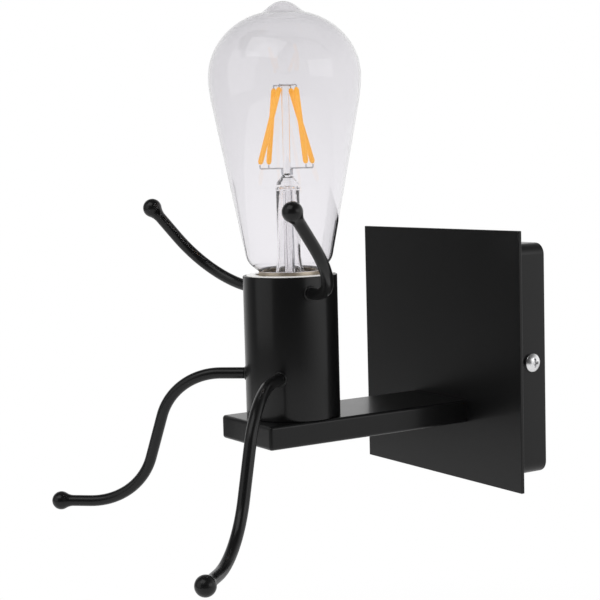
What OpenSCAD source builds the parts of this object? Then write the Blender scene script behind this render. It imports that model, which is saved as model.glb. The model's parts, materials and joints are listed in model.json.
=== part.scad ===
// Wall lamp in the form of a little figure: a square wall box, a flat bar that stands out of it,
// an upright tube that holds the lampholder, four bent limbs with ball ends and a pear-shaped bulb.
// Frame: the wall is the plane y = 0, the lamp stands out towards -Y, +Z is up and the origin is
// the middle of the wall box on the wall. All lengths are millimetres.

/* [Wall box] */
// Side of the square front panel
panel_side = 112; // [104:1:150]
// Thickness of the front panel
panel_t = 1.6; // [1:0.1:3]
// Side of the square wall box
box_side = 100; // [90:1:102]
// Depth of the wall box from the wall to the panel
box_depth = 18; // [17:0.5:30]
// Sheet thickness of the wall box
box_sheet = 1.2; // [0.8:0.1:2]
// Outer corner radius of the wall box
box_corner = 5; // [3:0.5:9]

/* [Wall bracket] */
// Height of the bracket strip
bracket_h = 20; // [16:1:24]
// Thickness of the bracket strip
bracket_t = 1.5; // [1.2:0.1:2.5]
// Distance between the two wall screw holes
wall_hole_pitch = 60; // [44:1:70]
// Diameter of the wall screw holes
wall_hole_d = 5.2; // [4:0.1:6.5]

/* [Arm bar] */
// Width of the flat bar
bar_w = 40; // [36:1:60]
// Thickness of the flat bar
bar_t = 10; // [9.5:0.5:16]
// Wall thickness of the bar
bar_wall = 1.5; // [1:0.1:1.7]
// Radius of the bar's outer edges
bar_edge = 1.4; // [0.8:0.1:2]
// Distance from the middle of the panel down to the bar's top face
bar_drop = 20; // [18:0.5:30]
// Distance from the wall to the far end of the bar
bar_reach = 122; // [112:1:180]

/* [Body tube] */
// Outer diameter of the body tube
tube_d = 40; // [39.5:0.5:50]
// Height of the body tube above the bar
tube_h = 60; // [56:1:90]
// Wall thickness of the body tube
tube_wall = 1.2; // [0.8:0.1:1.4]
// Thickness of the tube's closed base
tube_base = 1.5; // [1:0.1:2.5]
// Distance from the wall to the tube's axis
tube_out = 98; // [80:1:104]

/* [Limbs] */
// Diameter of the limb rods
rod_d = 4.9; // [4.4:0.1:5.5]
// Diameter of the balls on the limb ends
ball_d = 8.2; // [7:0.1:11]
// Height of the arm roots above the bar
arm_height = 53.2; // [50:0.2:53.4]
// Direction of the arm roots, from straight ahead towards the side
arm_heading = 83; // [80:1:100]
// Bend radius of the arms
arm_bend_r = 37; // [30:0.5:48]
// Angle that the arms are bent through
arm_bend = 76; // [60:1:90]
// Straight length at the end of the arms
arm_tip = 17; // [11:0.5:25]
// Forward lean of the left arm about its root
left_arm_turn = 37; // [0:1:60]
// Forward lean of the right arm about its root
right_arm_turn = 38; // [0:1:60]
// Height of the leg roots above the bar
leg_height = 18; // [15:0.5:24]
// Direction of the leg roots, from straight ahead towards the side
leg_heading = 42; // [35:1:55]
// Straight length of the legs before the first bend
leg_lead = 10.5; // [4:0.5:20]
// Radius of the upper leg bends
leg_knee_r = 29.5; // [20:0.5:36]
// Radius of the lower leg bends
leg_ankle_r = 32; // [20:0.5:36]
// Angle of both leg bends
leg_bend = 71; // [55:1:85]
// Straight length between the two leg bends
leg_shank = 21; // [10:0.5:30]
// Straight length at the end of the legs
leg_tip = 13.6; // [11:0.2:25]
// Lean of the left leg about its root
left_leg_turn = 13; // [-15:1:20]
// Lean of the right leg about its root
right_leg_turn = -3; // [-15:1:20]

/* [Bulb] */
// Largest diameter of the bulb glass
bulb_d = 64; // [60:1:80]
// Height of the glass above the screw cap
glass_h = 112.4; // [108:0.2:125]
// Height of the widest place above the screw cap
widest_h = 81; // [76:1:84]
// Half angle of the glass taper below the widest place
glass_taper = 11; // [9:0.5:12]
// Thickness of the bulb glass
glass_t = 0.8; // [0.5:0.1:1.2]
// Diameter of the glass neck
neck_d = 26; // [25:0.2:26.2]
// Length of each filament
filament_l = 33; // [25:0.5:36]
// Diameter of each filament
filament_d = 2.2; // [1.4:0.1:3]

/* [Hidden] */
$fn = 64;
// Sides of a true hexagon
hex_sides = 6;
LEFT = -1;
RIGHT = 1;

// Clearances
hole_fit = 0.05;
screw_hole_fit = 0.2;
seat_fit = 0.1;
slip_fit = 0.3;
// How far a cutting solid runs past the face it cuts
over = 1;
// How far a rod's turned-down ends reach into it, and how much a rod swells at the ends of a bend
rod_lap = 0.3;
bend_swell = 0.06;

// Colours
coat_black = "#1b1b1d";
steel_grey = "#b9bcc0";
zinc_grey = "#9a9da1";
brass_gold = "#c8a24a";
porcelain_white = "#f2efe8";
insulation_brown = "#6b3a22";
insulation_blue = "#2d5fa8";
insulation_green = "#5f9a2e";
plastic_cream = "#e6e1d2";
rubber_black = "#222222";
glass_clear = [0.88, 0.87, 0.9, 0.35];
filament_orange = "#f6b14c";
nickel_warm = "#c9bda3";
insulator_black = "#17171a";
board_green = "#2f6b45";

// Wall box places
box_front = -box_depth;
box_inside = box_front + box_sheet;
panel_front = box_front - panel_t;
side_screw_y = -8;
side_screw_z = -1.2;
side_screw_d = 4;
side_screw_head_d = 8;
side_screw_head_h = 2.6;
side_screw_grip = 3;
bracket_half = box_side / 2 - box_sheet - seat_fit;
ear_margin = 4.5;
ear_len = -side_screw_y + ear_margin;

// Arm bar places
bar_z = -bar_drop - bar_t / 2;
bar_ceiling = -bar_drop - bar_wall;
bar_floor = -bar_drop - bar_t + bar_wall;
end_cap_t = 3;
end_cap_tongue = 4;
plug_len = 12;
bar_screw_d = 4;
bar_screw_x = 12;
bar_screw_grip = 9;
bar_screw_head_d = 7;
bar_screw_head_h = 2.4;
wire_d = 1.8;
wire_pair = 1.2;
wire_bend_r = 5;
wire_bend_step = 30;
wire_lift = 0.8;
wire_ease = 2;
wire_hole_d = 5.6;
bush_d = 8;
bush_flange_d = 10.5;
bush_flange_t = 1.2;

// Terminal block places
block_w = 29;
block_h = 16;
block_y_size = 12;
block_rise = 8;
block_z = bracket_h / 2 + block_rise + block_h / 2;
block_face = box_inside + block_y_size;
pole_pitch = 9;
pole_y = box_inside + block_y_size / 2;
clamp_d = 4.6;
clamp_bore_d = 2.4;
clamp_len = 14;
clamp_screw_d = 3;
clamp_screw_l = 3.6;
clamp_screw_z = 4;
block_screw_d = 3;
block_screw_head_d = 5.5;
block_screw_head_h = 2;
block_screw_x = pole_pitch / 2;

// Earth point on the bracket
earth_x = 14;
earth_screw_d = 4;
earth_head_d = 7;
earth_head_h = 2.4;
tag_t = 0.8;
tag_d = 8;
tag_barrel_d = 3;
tag_barrel_bottom = 5;
tag_barrel_top = 9;
tag_lap = 1;
tag_barrel_y = -bracket_t - tag_barrel_d / 2;

// Body tube and limb roots
tube_r = tube_d / 2;
tube_in = tube_r - tube_wall;
tube_foot = -bar_drop;
tube_rim = tube_foot + tube_h;
arm_z = tube_foot + arm_height;
leg_z = tube_foot + leg_height;
socket_d = 6.4;
socket_out = 0.6;
journal_d = 4;
socket_face = tube_r + socket_out;
shoulder = socket_face + seat_fit;
limb_start = sqrt(pow(rod_d + bend_swell, 2) - pow(journal_d, 2)) / 2 + seat_fit;
ball_spigot_d = 3;
ball_spigot_l = 3;
neck_waist_d = 3.9;
neck_waist_l = 1.6;

// Lampholder stack, from the rim of the tube downwards
holder_proud = 0.4;
holder_top = tube_rim + holder_proud;
holder_flange_t = 3.6;
holder_r = 16.5;
nut_t = 3;
foot_t = 2;
foot_rise = 4.5;
foot_bottom = tube_foot + tube_base + nut_t + foot_rise;
holder_bottom = foot_bottom + foot_t;
holder_h = holder_top - holder_bottom;
bulb_proud = 1.2;
bulb_seat = holder_top + bulb_proud;
cap_h = 26.2;
cap_tip = bulb_seat - cap_h;
spring_h = 6.3;
holder_floor = cap_tip - seat_fit - spring_h;
holder_floor_t = 7;
recess_top = holder_floor - holder_floor_t;
recess_r = 13;
post_d = 7;
post_x = 9.4;
terminal_y = 6.5;
terminal_d = 3;
terminal_head_d = 5.5;
terminal_head_h = 2.2;
foot_l = 29;
foot_w = 13;
foot_screw_d = 3;
foot_screw_head_d = 5;
foot_screw_head_h = 2;
foot_screw_grip = 7;
nipple_d = 10;
nipple_bore_d = 7.6;
nut_across = 14;
nut_d = nut_across / cos(180 / hex_sides);
nipple_stand = 0.4;
nipple_bottom = bar_ceiling - nut_t - nipple_stand;

// Screw thread of the cap and the shell, drawn as rings
thread_pitch = 3.6;
thread_turns = 4;
thread_steps = 6;
cap_crest_r = 13.1;
cap_root_r = 12.2;
cap_sheet = 0.35;
cap_skirt_h = 7;
cap_skirt_ease = 1;
cap_thread_bottom = bulb_seat - cap_skirt_h - thread_pitch * thread_turns;
shell_crest_r = cap_crest_r + slip_fit;
shell_sheet = 0.4;
shell_lip = 2.4;
shell_out_r = shell_crest_r + cap_crest_r - cap_root_r + shell_sheet;
shell_thread_turns = 6;
tab_w = 6;
cavity_r = shell_out_r + seat_fit;

// Bulb glass outline above its seat
tip_h = 5.1;
tip_r = 10.4;
tip_flat = 5.2;
tip_flank_r = 6.6;
tip_flank_h = 3.8;
crown_r = 19.2;
crown_drop = 1.8;
brow_rise = 15.4;
taper_top_drop = 13.6;
taper_top_h = widest_h - taper_top_drop;
taper_foot_h = 6.8;
taper_drop_r = 1.7;
taper_ease = 4.6;
foot_ease = 3.6;
neck_ease_r = 2.1;
neck_ease_h = 1.7;
taper_top_r = bulb_d / 2 - taper_drop_r;
taper_foot_r = taper_top_r - (taper_top_h - taper_foot_h) * tan(glass_taper);
neck_r = neck_d / 2;
neck_gap = 0.5;
neck_in_r = cap_crest_r - cap_sheet - neck_gap;
neck_in_len = 6;
curve_steps = 12;
stem_r = 4.9;
stem_wall = 0.8;
stem_h = 35;
stem_rod_r = 1.6;
stem_press_r = 2.9;
stem_press_h = 4;
stem_press_top = 6;
flare_r = neck_in_r - glass_t;
flare_waist_r = 8;
flare_lip = 1;
flare_bend = 5;
flare_rise = 14;
exhaust_r = 2.2;
exhaust_low = -2;
filament_foot_r = 13.6;
filament_head_r = 5.2;
filament_foot_h = 45;
filament_turn = 3;
filament_twist = 28.5;
filament_run = [
    filament_head_r * cos(filament_twist) - filament_foot_r,
    filament_head_r * sin(filament_twist)
];
filament_rise = sqrt(pow(filament_l, 2) - filament_run * filament_run);
filament_head_h = filament_foot_h + filament_rise;
filament_count = 4;
lead_d = 0.8;
lead_drop = 1.8;
lead_foot_h = filament_foot_h - lead_drop;
lead_rise = 1.2;
lead_head_h = filament_head_h + lead_rise;
stem_rod_over = 0.4;
stem_rod_top = lead_head_h + stem_rod_over;
lead_root_r = 2.6;
lead_emerge = 5.4;
lead_root_h = stem_h + lead_emerge;
contact_r = 4.7;
contact_h = 1.6;
insulator_tip_r = 5.4;
insulator_gap = 0.6;
board_gap = 0.35;
board_r = cap_root_r - cap_sheet - board_gap;
board_t = 1.2;
board_rise = 6;
board_z = cap_thread_bottom + board_rise;

// Paths of the limbs: each step is a straight length, then a bend of a radius and an angle
arm_steps = [[limb_start, arm_bend_r, arm_bend], [arm_tip - ball_d / 2, 0, 0]];
leg_steps = [
    [leg_lead, leg_knee_r, -leg_bend],
    [leg_shank, leg_ankle_r, leg_bend],
    [leg_tip - ball_d / 2, 0, 0]
];

// Where a path step ends: place along the root, place across it, heading
function step_end(p, s) = let (
        a = p[2],
        b = a + s[2],
        swing = sign(s[2]) * s[1]
    ) [
        p[0] + s[0] * cos(a) + swing * (sin(b) - sin(a)),
        p[1] + s[0] * sin(a) + swing * (cos(a) - cos(b)),
        b
    ];
function path_end(steps, i = 0, p = [0, 0, 0]) =
    i == len(steps) ? p : path_end(steps, i + 1, step_end(p, steps[i]));

// Cubic curve through two end points with two handles
function curve_point(p, t) = pow(1 - t, 3) * p[0] + 3 * t * pow(1 - t, 2) * p[1]
    + 3 * t * t * (1 - t) * p[2] + pow(t, 3) * p[3];
function curve(p, first = 0) = [for (i = [first : curve_steps]) curve_point(p, i / curve_steps)];

// Points of an outline moved inwards by a thickness, for outlines that run from the axis down
function moved_in(pts, d) = [
    for (i = [0 : len(pts) - 1])
        let (
            along = pts[min(i + 1, len(pts) - 1)] - pts[max(i - 1, 0)],
            side = [along[1], -along[0]] / norm(along)
        )
        i == 0 ? [0, pts[0][1] - d] : pts[i] + side * d
];

// Wavy outline of rolled thread rings
function thread_wave(root_r, crest_r, bottom, turns) = [
    for (i = [0 : turns * thread_steps])
        let (share = (1 - cos(360 * i / thread_steps)) / 2)
        [root_r + (crest_r - root_r) * share, bottom + thread_pitch * i / thread_steps]
];
function flipped(pts) = [for (i = [len(pts) - 1 : -1 : 0]) pts[i]];

// Smooth route through hand-placed points
function route_point(a, b, c, d, t) = 0.5 * (2 * b + (c - a) * t + (2 * a - 5 * b + 4 * c - d) * t * t
    + (3 * b - a - 3 * c + d) * t * t * t);
function smooth_route(pts, steps) = let (last = len(pts) - 1) concat(
    [
        for (i = [0 : last - 1])
            for (k = [0 : steps - 1])
                route_point(pts[max(i - 1, 0)], pts[i], pts[i + 1], pts[min(i + 2, last)], k / steps)
    ],
    [pts[last]]
);
function unit(v) = v / norm(v);
function headings(pts) = [
    for (i = [0 : len(pts) - 1]) unit(pts[min(i + 1, len(pts) - 1)] - pts[max(i - 1, 0)])
];
function square_to(v, t) = unit(v - (v * t) * t);
function normals(t, i = 0, v = [1, 0.1, 0.05]) =
    i == len(t) ? [] : let (n = square_to(v, t[i])) concat([n], normals(t, i + 1, n));

// Round wire swept along a route
module wire(route, d) {
    sides = 8;
    steps = 3;
    pts = smooth_route(route, steps);
    t = headings(pts);
    n = normals(t);
    rings = [
        for (i = [0 : len(pts) - 1])
            for (k = [0 : sides - 1])
                pts[i] + d / 2 * (cos(360 * k / sides) * n[i] + sin(360 * k / sides) * cross(t[i], n[i]))
    ];
    last = (len(pts) - 1) * sides;
    faces = concat(
        [[for (k = [0 : sides - 1]) k]],
        [[for (k = [sides - 1 : -1 : 0]) last + k]],
        [
            for (i = [0 : len(pts) - 2])
                for (k = [0 : sides - 1])
                    [i * sides + k, (i + 1) * sides + k, (i + 1) * sides + (k + 1) % sides]
        ],
        [
            for (i = [0 : len(pts) - 2])
                for (k = [0 : sides - 1])
                    [i * sides + k, (i + 1) * sides + (k + 1) % sides, i * sides + (k + 1) % sides]
        ]
    );
    polyhedron(rings, faces);
}

// Flat shapes and common solids
module rounded_rect(w, h, r) {
    square([w - 2 * r, h], center = true);
    square([w, h - 2 * r], center = true);
    for (x = [-1, 1])
        for (y = [-1, 1])
            translate([x * (w / 2 - r), y * (h / 2 - r)])
                circle(r);
}

// Plate or block drawn in the X-Z plane that runs from y = from towards the wall
module upright(from, depth) {
    translate([0, from + depth, 0])
        rotate([90, 0, 0])
            linear_extrude(depth)
                children();
}

// Round bar along Y that runs from y = from towards the wall
module along_y(d, from, length) {
    translate([0, from, 0])
        rotate([-90, 0, 0])
            cylinder(d = d, h = length);
}

// Pan-head screw on the Z axis: the head stands up from z = 0, the shank goes down
module pan_screw(d, length, head_d, head_h) {
    dome_r = head_d * 0.72;
    recess_w = head_d * 0.14;
    recess_l = head_d * 0.62;
    recess_depth = head_h * 0.45;
    difference() {
        intersection() {
            cylinder(d = head_d, h = head_h);
            translate([0, 0, head_h - dome_r])
                sphere(dome_r);
        }
        for (a = [0, 90])
            rotate([0, 0, a])
                translate([-recess_l / 2, -recess_w / 2, head_h - recess_depth])
                    cube([recess_l, recess_w, recess_depth + over]);
    }
    translate([0, 0, -length])
        cylinder(d = d, h = length);
}

module hex_nut(bottom) {
    difference() {
        translate([0, 0, bottom])
            cylinder(d = nut_d, h = nut_t, $fn = hex_sides);
        translate([0, 0, bottom - over])
            cylinder(d = nipple_d + 2 * hole_fit, h = nut_t + 2 * over);
    }
}

module at_tube() {
    translate([0, -tube_out, 0])
        children();
}

// Limb frame: local X leaves the tube along the root, local Z is the way the arms bend
module at_limb(side, heading, height, turn) {
    at_tube()
        translate([0, 0, height])
            rotate([0, 0, side * heading - 90])
                rotate([side * turn, 0, 0])
                    children();
}
module at_left_arm() {
    at_limb(LEFT, arm_heading, arm_z, left_arm_turn)
        children();
}
module at_right_arm() {
    at_limb(RIGHT, arm_heading, arm_z, right_arm_turn)
        children();
}
module at_left_leg() {
    at_limb(LEFT, leg_heading, leg_z, left_leg_turn)
        children();
}
module at_right_leg() {
    at_limb(RIGHT, leg_heading, leg_z, right_leg_turn)
        children();
}

// Wall box and what it holds
module wall_bracket() {
    color(zinc_grey)
        difference() {
            union() {
                upright(-bracket_t, bracket_t)
                    square([2 * bracket_half, bracket_h], center = true);
                for (side = [LEFT, RIGHT])
                    translate([side * (bracket_half - bracket_t / 2), -ear_len / 2, 0])
                        cube([bracket_t, ear_len, bracket_h], center = true);
            }
            for (side = [LEFT, RIGHT])
                translate([side * wall_hole_pitch / 2, 0, 0])
                    along_y(wall_hole_d, -bracket_t - over, bracket_t + 2 * over);
            translate([earth_x, 0, 0])
                along_y(earth_screw_d + 2 * hole_fit, -bracket_t - over, bracket_t + 2 * over);
            for (side = [LEFT, RIGHT])
                translate([side * (bracket_half - bracket_t / 2), side_screw_y, side_screw_z])
                    rotate([0, 90, 0])
                        cylinder(d = side_screw_d + 2 * hole_fit, h = bracket_t + 2 * over, center = true);
        }
}

module wall_box() {
    color(coat_black)
        difference() {
            upright(box_front, box_depth)
                rounded_rect(box_side, box_side, box_corner);
            upright(box_inside, box_depth)
                rounded_rect(box_side - 2 * box_sheet, box_side - 2 * box_sheet, box_corner - box_sheet);
            panel_holes(box_front - over, box_sheet + 2 * over);
            translate([block_screw_x, 0, block_z])
                along_y(block_screw_d + 2 * hole_fit, box_front - over, box_sheet + 2 * over);
            for (side = [LEFT, RIGHT])
                translate([side * box_side / 2, side_screw_y, side_screw_z])
                    rotate([0, 90, 0])
                        cylinder(d = side_screw_d + 2 * screw_hole_fit, h = 4 * box_sheet, center = true);
        }
}

// Holes for the wires and the bar screws through the panel and the box
module panel_holes(from, depth) {
    translate([0, 0, bar_z]) {
        along_y(bush_d, from, depth);
        for (side = [LEFT, RIGHT])
            translate([side * bar_screw_x, 0, 0])
                along_y(bar_screw_d + 2 * screw_hole_fit, from, depth);
    }
}

module front_panel() {
    color(coat_black)
        difference() {
            upright(panel_front, panel_t)
                square(panel_side, center = true);
            panel_holes(panel_front - over, panel_t + 2 * over);
        }
}

module side_screws() {
    length = box_sheet + seat_fit + bracket_t + side_screw_grip;
    color(steel_grey)
        for (side = [LEFT, RIGHT])
            translate([side * box_side / 2, side_screw_y, side_screw_z])
                rotate([0, side * 90, 0])
                    pan_screw(side_screw_d, length, side_screw_head_d, side_screw_head_h);
}

module earth_screw() {
    color(brass_gold)
        translate([earth_x, -bracket_t - tag_t, 0])
            rotate([90, 0, 0])
                pan_screw(earth_screw_d, bracket_t + tag_t, earth_head_d, earth_head_h);
}

module earth_tag() {
    color(steel_grey)
        translate([earth_x, 0, 0])
            difference() {
                union() {
                    along_y(tag_d, -bracket_t - tag_t, tag_t);
                    translate([-tag_barrel_d / 2, -bracket_t - tag_t, 0])
                        cube([tag_barrel_d, tag_t, tag_barrel_bottom + tag_lap]);
                    translate([0, tag_barrel_y, tag_barrel_bottom])
                        cylinder(d = tag_barrel_d, h = tag_barrel_top - tag_barrel_bottom);
                }
                along_y(earth_screw_d + 2 * hole_fit, -bracket_t - tag_t - over, tag_t + 2 * over);
                translate([0, tag_barrel_y, tag_barrel_bottom + tag_lap])
                    cylinder(d = wire_d + 2 * hole_fit, h = tag_barrel_top);
            }
}

module at_poles() {
    for (pole = [-1, 0, 1])
        translate([pole * pole_pitch, pole_y, block_z])
            children();
}

module terminal_block() {
    color(plastic_cream)
        difference() {
            translate([-block_w / 2, box_inside, block_z - block_h / 2])
                cube([block_w, block_y_size, block_h]);
            at_poles() {
                cylinder(d = clamp_d + 2 * hole_fit, h = block_h + 2 * over, center = true);
                for (z = [-clamp_screw_z, clamp_screw_z])
                    translate([0, 0, z])
                        along_y(clamp_screw_d + 2 * screw_hole_fit, 0, block_y_size);
            }
            translate([block_screw_x, 0, block_z])
                along_y(block_screw_d + 2 * hole_fit, box_inside - over, block_y_size + 2 * over);
        }
}

module terminal_clamps() {
    color(brass_gold)
        at_poles()
            difference() {
                cylinder(d = clamp_d, h = clamp_len, center = true);
                cylinder(d = clamp_bore_d, h = clamp_len + over, center = true);
                for (z = [-clamp_screw_z, clamp_screw_z])
                    translate([0, 0, z])
                        along_y(clamp_screw_d / 2 + 2 * hole_fit, 0, clamp_d);
            }
}

// Grub screws: a head in the block's well and a thin point through the clamp
module clamp_screws() {
    slot = [clamp_screw_d + over, clamp_screw_d / 2, clamp_screw_d / 5];
    color(steel_grey)
        at_poles()
            for (z = [-clamp_screw_z, clamp_screw_z])
                translate([0, 0, z])
                    difference() {
                        union() {
                            along_y(clamp_screw_d, clamp_d / 2 + hole_fit, clamp_screw_l);
                            along_y(clamp_screw_d / 2, wire_d / 2 + hole_fit, clamp_screw_l);
                        }
                        translate([0, clamp_d / 2 + hole_fit + clamp_screw_l, 0])
                            cube(slot, center = true);
                    }
}

module block_screw() {
    color(steel_grey)
        translate([block_screw_x, block_face, block_z])
            rotate([-90, 0, 0])
                pan_screw(block_screw_d, block_y_size + box_sheet, block_screw_head_d, block_screw_head_h);
}

module cable_bush() {
    color(rubber_black)
        translate([0, 0, bar_z])
            difference() {
                union() {
                    along_y(bush_d - 2 * hole_fit, panel_front, panel_t + box_sheet);
                    along_y(bush_flange_d, box_inside, bush_flange_t);
                }
                along_y(wire_hole_d, panel_front - over, bar_w);
            }
}

module bar_screws() {
    length = box_sheet + panel_t + bar_screw_grip;
    color(steel_grey)
        for (side = [LEFT, RIGHT])
            translate([side * bar_screw_x, box_inside, bar_z])
                rotate([-90, 0, 0])
                    pan_screw(bar_screw_d, length, bar_screw_head_d, bar_screw_head_h);
}

// Bar that stands out of the panel
module arm_bar() {
    bar_l = bar_reach - end_cap_t + panel_front;
    color(coat_black)
        difference() {
            translate([0, 0, bar_z])
                upright(panel_front - bar_l, bar_l)
                    difference() {
                        rounded_rect(bar_w, bar_t, bar_edge);
                        square([bar_w - 2 * bar_wall, bar_t - 2 * bar_wall], center = true);
                    }
            at_tube()
                translate([0, 0, bar_z])
                    cylinder(d = nipple_d + 2 * screw_hole_fit, h = bar_t);
        }
}

// End of the bar, rounded on its front edges, with a tongue inside the bar
module bar_end_cap() {
    tongue_w = bar_w - 2 * bar_wall - 2 * hole_fit;
    tongue_t = bar_t - 2 * bar_wall - 2 * hole_fit;
    edge_x = bar_w / 2 - bar_edge;
    edge_z = bar_t / 2 - bar_edge;
    color(coat_black)
        translate([0, -bar_reach, bar_z]) {
            upright(bar_edge, end_cap_t - bar_edge)
                rounded_rect(bar_w, bar_t, bar_edge);
            upright(0, bar_edge)
                square([2 * edge_x, 2 * edge_z], center = true);
            difference() {
                upright(end_cap_t, end_cap_tongue)
                    square([tongue_w, tongue_t], center = true);
                translate([0, bar_reach - tube_out, -bar_t / 2])
                    cylinder(d = nut_d + 2 * slip_fit, h = bar_t);
            }
            translate([0, bar_edge, 0]) {
                for (z = [-edge_z, edge_z])
                    translate([-edge_x, 0, z])
                        rotate([0, 90, 0])
                            cylinder(r = bar_edge, h = 2 * edge_x);
                for (x = [-edge_x, edge_x])
                    translate([x, 0, -edge_z])
                        cylinder(r = bar_edge, h = 2 * edge_z);
                for (x = [-edge_x, edge_x])
                    for (z = [-edge_z, edge_z])
                        translate([x, 0, z])
                            sphere(bar_edge);
            }
        }
}

module bar_rear_plug() {
    plug_w = bar_w - 2 * bar_wall - 2 * hole_fit;
    plug_t = bar_t - 2 * bar_wall - 2 * hole_fit;
    plug_end = panel_front - plug_len;
    color(steel_grey)
        translate([0, 0, bar_z])
            difference() {
                upright(plug_end, plug_len)
                    square([plug_w, plug_t], center = true);
                along_y(wire_hole_d, plug_end - over, plug_len + 2 * over);
                for (side = [LEFT, RIGHT])
                    translate([side * bar_screw_x, 0, 0])
                        along_y(bar_screw_d + 2 * hole_fit, plug_end - over, plug_len + 2 * over);
            }
}

module nipple() {
    length = holder_bottom - nipple_bottom;
    color(brass_gold)
        at_tube()
            translate([0, 0, nipple_bottom])
                difference() {
                    cylinder(d = nipple_d, h = length);
                    translate([0, 0, -over])
                        cylinder(d = nipple_bore_d, h = length + 2 * over);
                }
}

module bar_nut() {
    color(zinc_grey)
        at_tube()
            hex_nut(bar_ceiling - nut_t);
}

module tube_nut() {
    color(zinc_grey)
        at_tube()
            hex_nut(tube_foot + tube_base);
}

// Upright tube and the limb roots in its wall
module at_all_roots() {
    at_left_arm()
        children();
    at_right_arm()
        children();
    at_left_leg()
        children();
    at_right_leg()
        children();
}

module along_root(d, from, to) {
    translate([from, 0, 0])
        rotate([0, 90, 0])
            cylinder(d = d, h = to - from);
}

module body_tube() {
    color(coat_black)
        difference() {
            at_tube()
                translate([0, 0, tube_foot])
                    difference() {
                        cylinder(r = tube_r, h = tube_h);
                        translate([0, 0, tube_base])
                            cylinder(r = tube_in, h = tube_h);
                        translate([0, 0, -over])
                            cylinder(d = nipple_d + 2 * screw_hole_fit, h = tube_base + 2 * over);
                    }
            at_all_roots()
                along_root(socket_d + 2 * hole_fit, tube_in / 2, tube_r + over);
        }
}

module limb_sockets() {
    color(zinc_grey)
        at_all_roots()
            difference() {
                along_root(socket_d, tube_in, socket_face);
                along_root(journal_d + 2 * hole_fit, tube_in - over, socket_face + over);
            }
}

// Bent rod along a path, drawn step by step
module rod_run(steps, i = 0) {
    if (i < len(steps)) {
        s = steps[i];
        end = step_end([0, 0, 0], s);
        along_root(rod_d, 0, s[0]);
        if (s[2] != 0) {
            translate([s[0], 0, 0])
                sphere(d = rod_d + bend_swell);
            translate([s[0], 0, sign(s[2]) * s[1]])
                mirror([0, 0, s[2] > 0 ? 0 : 1])
                    rotate([90, 0, 0])
                        rotate([0, 0, -90])
                            rotate_extrude(angle = abs(s[2]))
                                translate([s[1], 0])
                                    circle(d = rod_d);
            translate([end[0], 0, end[1]])
                sphere(d = rod_d + bend_swell);
        }
        translate([end[0], 0, end[1]])
            rotate([0, -end[2], 0])
                rod_run(steps, i + 1);
    }
}

module at_path_end(steps) {
    end = path_end(steps);
    translate([shoulder + end[0], 0, end[1]])
        rotate([0, -end[2], 0])
            children();
}

// Limb rod: journal in the socket, bent rod, waist and spigot that carry the ball
module limb_rod(steps) {
    color(coat_black) {
        along_root(journal_d, tube_in, shoulder + rod_lap);
        translate([shoulder, 0, 0])
            rod_run(steps);
        at_path_end(steps)
            translate([-rod_lap, 0, 0])
                rotate([0, 90, 0]) {
                    cylinder(d = neck_waist_d, h = rod_lap + neck_waist_l);
                    cylinder(d = ball_spigot_d, h = rod_lap + neck_waist_l + ball_spigot_l);
                }
    }
}

// Ball on the end of a limb, bored for the spigot
module limb_ball(steps) {
    ball_middle = ball_d / 2;
    color(coat_black)
        at_path_end(steps)
            difference() {
                translate([ball_middle, 0, 0])
                    sphere(d = ball_d);
                along_root(neck_waist_d + 2 * hole_fit, -over, neck_waist_l + hole_fit);
                along_root(ball_spigot_d + 2 * hole_fit, 0, neck_waist_l + ball_spigot_l + hole_fit);
            }
}

module left_arm_rod() {
    at_left_arm()
        limb_rod(arm_steps);
}
module left_arm_ball() {
    at_left_arm()
        limb_ball(arm_steps);
}
module right_arm_rod() {
    at_right_arm()
        limb_rod(arm_steps);
}
module right_arm_ball() {
    at_right_arm()
        limb_ball(arm_steps);
}
module left_leg_rod() {
    at_left_leg()
        limb_rod(leg_steps);
}
module left_leg_ball() {
    at_left_leg()
        limb_ball(leg_steps);
}
module right_leg_rod() {
    at_right_leg()
        limb_rod(leg_steps);
}
module right_leg_ball() {
    at_right_leg()
        limb_ball(leg_steps);
}

// Lampholder
module holder_foot() {
    color(zinc_grey)
        at_tube()
            translate([0, 0, foot_bottom])
                difference() {
                    translate([-foot_l / 2, -foot_w / 2, 0])
                        cube([foot_l, foot_w, foot_t]);
                    translate([0, 0, -over])
                        cylinder(d = nipple_d + 2 * hole_fit, h = foot_t + 2 * over);
                    for (side = [LEFT, RIGHT])
                        translate([side * post_x, 0, -over])
                            cylinder(d = foot_screw_d + 2 * hole_fit, h = foot_t + 2 * over);
                }
}

module foot_screws() {
    length = foot_t + foot_screw_grip;
    color(steel_grey)
        at_tube()
            for (side = [LEFT, RIGHT])
                translate([side * post_x, 0, foot_bottom])
                    rotate([180, 0, 0])
                        pan_screw(foot_screw_d, length, foot_screw_head_d, foot_screw_head_h);
}

module holder_body() {
    flange_r = tube_in - slip_fit;
    color(porcelain_white)
        at_tube()
            difference() {
                union() {
                    translate([0, 0, holder_bottom])
                        cylinder(r = holder_r, h = holder_h);
                    translate([0, 0, holder_top - holder_flange_t])
                        cylinder(r = flange_r, h = holder_flange_t);
                }
                translate([0, 0, holder_floor])
                    cylinder(r = cavity_r, h = holder_h);
                difference() {
                    translate([0, 0, holder_bottom - over])
                        cylinder(r = recess_r, h = recess_top - holder_bottom + over);
                    for (side = [LEFT, RIGHT])
                        translate([side * post_x, 0, holder_bottom])
                            cylinder(d = post_d, h = holder_h);
                }
                for (side = [LEFT, RIGHT])
                    translate([side * post_x, 0, holder_bottom - over])
                        cylinder(d = foot_screw_d + 2 * hole_fit, h = foot_screw_grip + over + hole_fit);
                for (y = [-terminal_y, terminal_y])
                    translate([0, y, recess_top - over])
                        cylinder(d = terminal_d + 2 * hole_fit, h = holder_floor_t + 2 * over);
            }
}

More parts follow.
